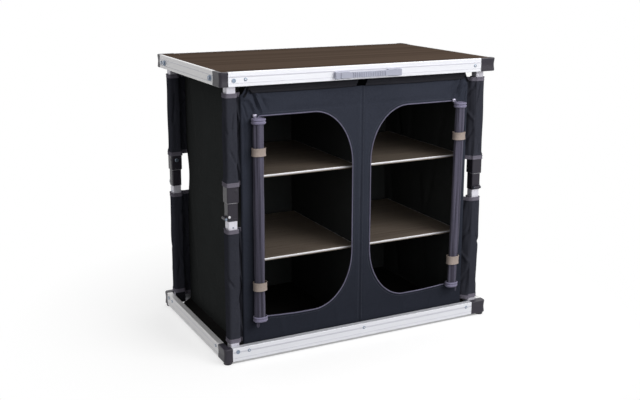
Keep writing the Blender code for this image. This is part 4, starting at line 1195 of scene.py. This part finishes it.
# Groove lines: share of the rail's height and half height, which is less on a side rail. Their darker metal
# is painted shade of the grooves
GROOVE_LINES = ((0.68, 0.0024), (0.24, 0.0008))
SIDE_LINE_SHARE = 0.4
LINE_THICK = 0.0003
# Heads: radius and height, then their places and their bright crowns, which are a painted highlight
SCREW_SIZE = (0.0048, 0.0016)
BOLT_SIZE = (0.0092, 0.0060)
SCREW_SPAN = {"front": 0.375, "rear": 0.375, "left": 0.1975, "right": 0.1975}
SCREW_HEIGHT = {"bottom": 0.035, "top": 0.8085}
SIDE_SCREW_SHIFT = 0.007
HIGHLIGHT_DOME = [(0.0024, 0.0), (0.0022, 0.0006), (0.0016, 0.0010), (0.0007, 0.0012)]
HIGHLIGHT_DOME_OUT = {"screw": 0.0008, "bolt": 0.0048}


def screw(radius, height):
    """A button head with a recess: from the rim up over the crown, and down into a lobed socket."""
    rim = turned([(radius * 0.92, -0.0006), (radius, height * 0.25), (radius * 0.97, height * 0.55),
                  (radius * 0.80, height * 0.88), (radius * 0.50, height), (radius * 0.42, height * 0.9)], 28)
    socket = turned([(radius * 0.46, height * 0.99), (radius * 0.40, height * 0.5),
                     (radius * 0.36, height * 0.35)], 28, 0.16)
    return [rim, socket]


def hex_bolt(radius, height):
    """A flanged bolt: a round washer face below and a six-sided head above with a hollow crown."""
    flange = turned([(radius * 0.96, -0.0006), (radius, 0.0004), (radius * 0.98, 0.0011),
                     (radius * 0.90, 0.0015)], 32)
    head = turned([(radius * 0.74, 0.0010), (radius * 0.76, 0.0016), (radius * 0.74, height * 0.85),
                   (radius * 0.60, height), (radius * 0.45, height * 0.8)], 36, 0.045)
    return [flange, head]


def rail_face(side_name, level):
    """A rail's box, the axis that it faces along, where its outer face lies, and its outward direction."""
    low, high = box(f"{level}_rail_{side_name}")
    axis = 1 if side_name in ("front", "rear") else 0
    outside = -1 if side_name in ("front", "left") else 1
    direction = [0.0, 0.0, 0.0]
    direction[axis] = outside
    return low, high, axis, (low if outside < 0 else high)[axis], direction


for level in ("bottom", "top"):
    for side_name in SIDES:
        low, high, axis, face, direction = rail_face(side_name, level)
        path = np.zeros((40, 3))
        path[:, axis] = face
        path[:, 1 - axis] = np.linspace(low[1 - axis] + 0.001, high[1 - axis] - 0.001, 40)
        lines = []
        for share, half in GROOVE_LINES:
            path[:, 2] = low[2] + share * (high[2] - low[2])
            outline = rounded_outline(half if axis == 1 else SIDE_LINE_SHARE * half, LINE_THICK, 3, 12)
            lines.append(carried(path.copy(), direction, outline))
        make(f"rail_lines_{level}_{side_name}", lines, GROOVE_SHADE_METAL, f"{level}_frame")

for level in ("bottom", "top"):
    for side_name in SIDES:
        _, _, axis, face, direction = rail_face(side_name, level)
        kind = "bolt" if axis == 0 and level == "top" else "screw"
        spots = [-SCREW_SPAN[side_name], SCREW_SPAN[side_name]]
        if level == "bottom" and side_name == "front":
            spots.append(0.0)
        heads, painted_highlights = [], []
        for spot in spots:
            where = [0.0, 0.0, SCREW_HEIGHT[level]]
            where[axis] = face
            where[1 - axis] = spot if axis == 1 else spot + SIDE_SCREW_SHIFT
            shapes = hex_bolt(*BOLT_SIZE) if kind == "bolt" else screw(*SCREW_SIZE)
            heads += [moved(shape, facing_matrix(where, direction)) for shape in shapes]
            # A bright dome on each head is a painted highlight.
            where[axis] += HIGHLIGHT_DOME_OUT[kind] * direction[axis]
            painted_highlights.append(moved(turned(HIGHLIGHT_DOME, 20), facing_matrix(where, direction)))
        make(f"rail_screws_{level}_{side_name}", heads, FINISHES["bright_steel"], f"{level}_frame")
        make(f"rail_screw_crowns_{level}_{side_name}", painted_highlights, TRIM_METAL, f"{level}_frame")


# Small parts of the knees, in each leg's own axes

KNEE_LINE_HALF, KNEE_LINE_HEIGHT = 0.0152, 0.4662
KNEE_LINE_PROFILE = (0.0012, 0.0012, 2, 8)
KNEE_SCREW_SIZE, KNEE_SCREW_PLACE = (0.0038, 0.0014), (-0.0112, -0.0150, 0.4270)
NUB_PROFILE = [(0.0052, -0.0004), (0.0054, 0.0003), (0.0048, 0.0007), (0.0030, 0.0009)]
NUB_PLACE = (0.0085, -0.0174, 0.4990)
RIVET_PROFILE = [(0.0022, -0.0004), (0.0024, 0.0002), (0.0020, 0.0007), (0.0009, 0.0010)]
RIVETS = (((0.0, -0.0135, 0.3955), FORWARD), ((0.0, 0.0135, 0.3955), BACKWARD))

for corner in CORNERS:
    place = leg_frame(corner)
    upper, lower = f"leg_{corner}_upper", f"leg_{corner}_lower"
    square = rounded_outline(KNEE_LINE_HALF, KNEE_LINE_HALF, 9, 72)
    ring = np.column_stack([square, np.full(72, KNEE_LINE_HEIGHT)])
    line = carried(ring, UP, rounded_outline(*KNEE_LINE_PROFILE), closed=True)
    seat = place @ facing_matrix(KNEE_SCREW_PLACE, FORWARD)
    bright = [moved(line, place)] + [moved(shape, seat) for shape in screw(*KNEE_SCREW_SIZE)]
    make(f"knee_bright_{corner}", bright, TRIM_METAL, upper)
    nub = moved(turned(NUB_PROFILE, 24), place @ facing_matrix(NUB_PLACE, FORWARD))
    make(f"knee_nub_{corner}", [nub], NUB_PLASTIC, upper)
    rivets = [moved(turned(RIVET_PROFILE, 16), place @ facing_matrix(spot, way)) for spot, way in RIVETS]
    make(f"tube_rivets_{corner}", rivets, FINISHES["bright_steel"], lower)


# Ribs on the carrying handle

RIB_SPAN = 0.052
RIB_COUNT = 19
RIB_PROFILE = (0.0016, 0.0013, 2, 10)
RIB_END_IN = 0.0012
GRIP_BOW, GRIP_HALF = 0.002, 0.092

low, high = box("handle_grip")
ribs = []
for x in np.linspace(-RIB_SPAN, RIB_SPAN, RIB_COUNT):
    y = low[1] + GRIP_BOW * (x / GRIP_HALF) ** 2
    path = np.linspace((x, y, low[2] + RIB_END_IN), (x, y, high[2] - RIB_END_IN), 14)
    ribs.append(carried(path, FORWARD, rounded_outline(*RIB_PROFILE)))
make("handle_grip_ribs", ribs, FINISHES["grey_plastic"], "handle_grip_body")


# Floor, light and camera

FLOOR_HALF = 6.0
FLOOR_WHITE_FROM, FLOOR_WHITE_TO = 0.52, 1.00
FLOOR_GLOW = 0.66
FLOOR_TONE = 0.42
FLOOR_BOUNCE = 0.20
# A box under the cupboard where the floor's glow is lower: painted shadow.
FLOOR_SHADE_HALF_WIDTH, FLOOR_SHADE_HALF_DEPTH = 0.440, 0.257
FLOOR_SHADE_GLOW = 0.4
WORLD_LIGHT = 0.47
# Lamps: place, the place they face, size and power
LAMPS = {
    "key": ((1.4, -2.4, 2.2), (0.0, 0.0, 0.60), 2.0, 58.0),
    "fill": ((0.0, -3.0, 1.2), (0.0, 0.0, 0.60), 1.4, 12.0),
    "top": ((0.5, 0.3, 3.4), (0.0, 0.0, 0.60), 2.4, 26.0),
}
CAMERA_PLACE = (-1.337, -2.58575, 1.133)
CAMERA_YAW, CAMERA_PITCH, CAMERA_ROLL = (math.radians(angle) for angle in (27.05, -12.34, 0.20))
CAMERA_LENS, CAMERA_SENSOR = 53.04, 36.0
CAMERA_SHIFT_UP = -0.06


def seen_directly(tree):
    """One for rays from the camera, off gloss and through glass, and nought for all other light."""
    path = node(tree, "ShaderNodeLightPath").outputs
    bounced = maths(tree, "MAXIMUM", path["Is Glossy Ray"], path["Is Transmission Ray"])
    return maths(tree, "MAXIMUM", path["Is Camera Ray"], bounced)


def floor_finish():
    """White floor. Where it is seen, part of its white is its own glow, and further out all of it is.

    The glow is lower in a box under the cupboard, which paints a shadow there. For all other light it is a
    plain pale floor.
    """
    material, tree, shader = new_finish("white_floor", roughness=1.0, specular=0.0)
    seen = seen_directly(tree)
    place = object_place(tree)
    far = node(tree, "ShaderNodeVectorMath", {0: place}, operation="LENGTH").outputs["Value"]
    across = node(tree, "ShaderNodeSeparateXYZ", {0: place}).outputs
    outside = [maths(tree, "GREATER_THAN", maths(tree, "ABSOLUTE", across[axis]), half)
               for axis, half in (("X", FLOOR_SHADE_HALF_WIDTH), ("Y", FLOOR_SHADE_HALF_DEPTH))]
    open_floor = maths(tree, "MAXIMUM", maths(tree, "MAXIMUM", *outside), FLOOR_SHADE_GLOW)
    glow = mapped(tree, far, FLOOR_WHITE_FROM, FLOOR_WHITE_TO, FLOOR_GLOW, 1.0)
    glow = maths(tree, "MULTIPLY", glow, open_floor)
    tone = mapped(tree, far, FLOOR_WHITE_FROM, FLOOR_WHITE_TO, FLOOR_TONE, 0.0)
    shown = maths(tree, "MULTIPLY_ADD", seen, maths(tree, "SUBTRACT", tone, FLOOR_BOUNCE), FLOOR_BOUNCE)
    grey = node(tree, "ShaderNodeCombineColor", {0: shown, 1: shown, 2: shown}).outputs[0]
    tree.links.new(grey, shader.inputs["Base Color"])
    shader.inputs["Emission Color"].default_value = (1, 1, 1, 1)
    tree.links.new(maths(tree, "MULTIPLY", seen, glow), shader.inputs["Emission Strength"])
    return material


def make_floor():
    """A plain square floor of four quads by four."""
    span = np.linspace(-FLOOR_HALF, FLOOR_HALF, 5)
    x, y = np.meshgrid(span, span)
    mesh = bpy.data.meshes.new("floor")
    mesh.from_pydata(grid_of(x, y, 0.0).reshape(-1, 3).tolist(), [],
                     quads_of(np.arange(25).reshape(5, 5)).tolist())
    mesh.materials.append(floor_finish())
    floor = bpy.data.objects.new("floor", mesh)
    bpy.context.scene.collection.objects.link(floor)


def make_world():
    """A world that is white where it is seen, and a softer even light for everything else."""
    world = bpy.data.worlds.new("studio")
    bpy.context.scene.world = world
    world.use_nodes = True
    tree = world.node_tree
    back = tree.nodes["Background"]
    back.inputs["Color"].default_value = (1, 1, 1, 1)
    strength = mapped(tree, seen_directly(tree), 0.0, 1.0, WORLD_LIGHT, 1.0)
    tree.links.new(strength, back.inputs["Strength"])


def lamp(name, place, target, size, power):
    """A square soft lamp at a place, turned to a target."""
    data = bpy.data.lights.new(name, "AREA")
    data.shape = "SQUARE"
    data.size = size
    data.energy = power
    made = bpy.data.objects.new(name, data)
    made.location = place
    made.rotation_euler = (Vector(target) - Vector(place)).to_track_quat("-Z", "Y").to_euler()
    bpy.context.scene.collection.objects.link(made)


def make_camera():
    """The camera, turned by yaw round Z, then by pitch, and then by roll round its own line of sight."""
    data = bpy.data.cameras.new("camera")
    data.lens = CAMERA_LENS
    data.sensor_width = CAMERA_SENSOR
    data.shift_y = CAMERA_SHIFT_UP
    camera = bpy.data.objects.new("camera", data)
    ahead = Vector((math.sin(CAMERA_YAW) * math.cos(CAMERA_PITCH),
                    math.cos(CAMERA_YAW) * math.cos(CAMERA_PITCH), math.sin(CAMERA_PITCH)))
    level = Vector((math.cos(CAMERA_YAW), -math.sin(CAMERA_YAW), 0))
    above = level.cross(ahead)
    right = math.cos(CAMERA_ROLL) * level + math.sin(CAMERA_ROLL) * above
    above = -math.sin(CAMERA_ROLL) * level + math.cos(CAMERA_ROLL) * above
    turn = Matrix((right, above, -ahead)).transposed().to_4x4()
    camera.matrix_world = Matrix.Translation(CAMERA_PLACE) @ turn
    bpy.context.scene.collection.objects.link(camera)
    bpy.context.scene.camera = camera


make_floor()
make_world()
for name, settings in LAMPS.items():
    lamp(name, *settings)
make_camera()
bpy.context.scene.view_settings.view_transform = "Standard"
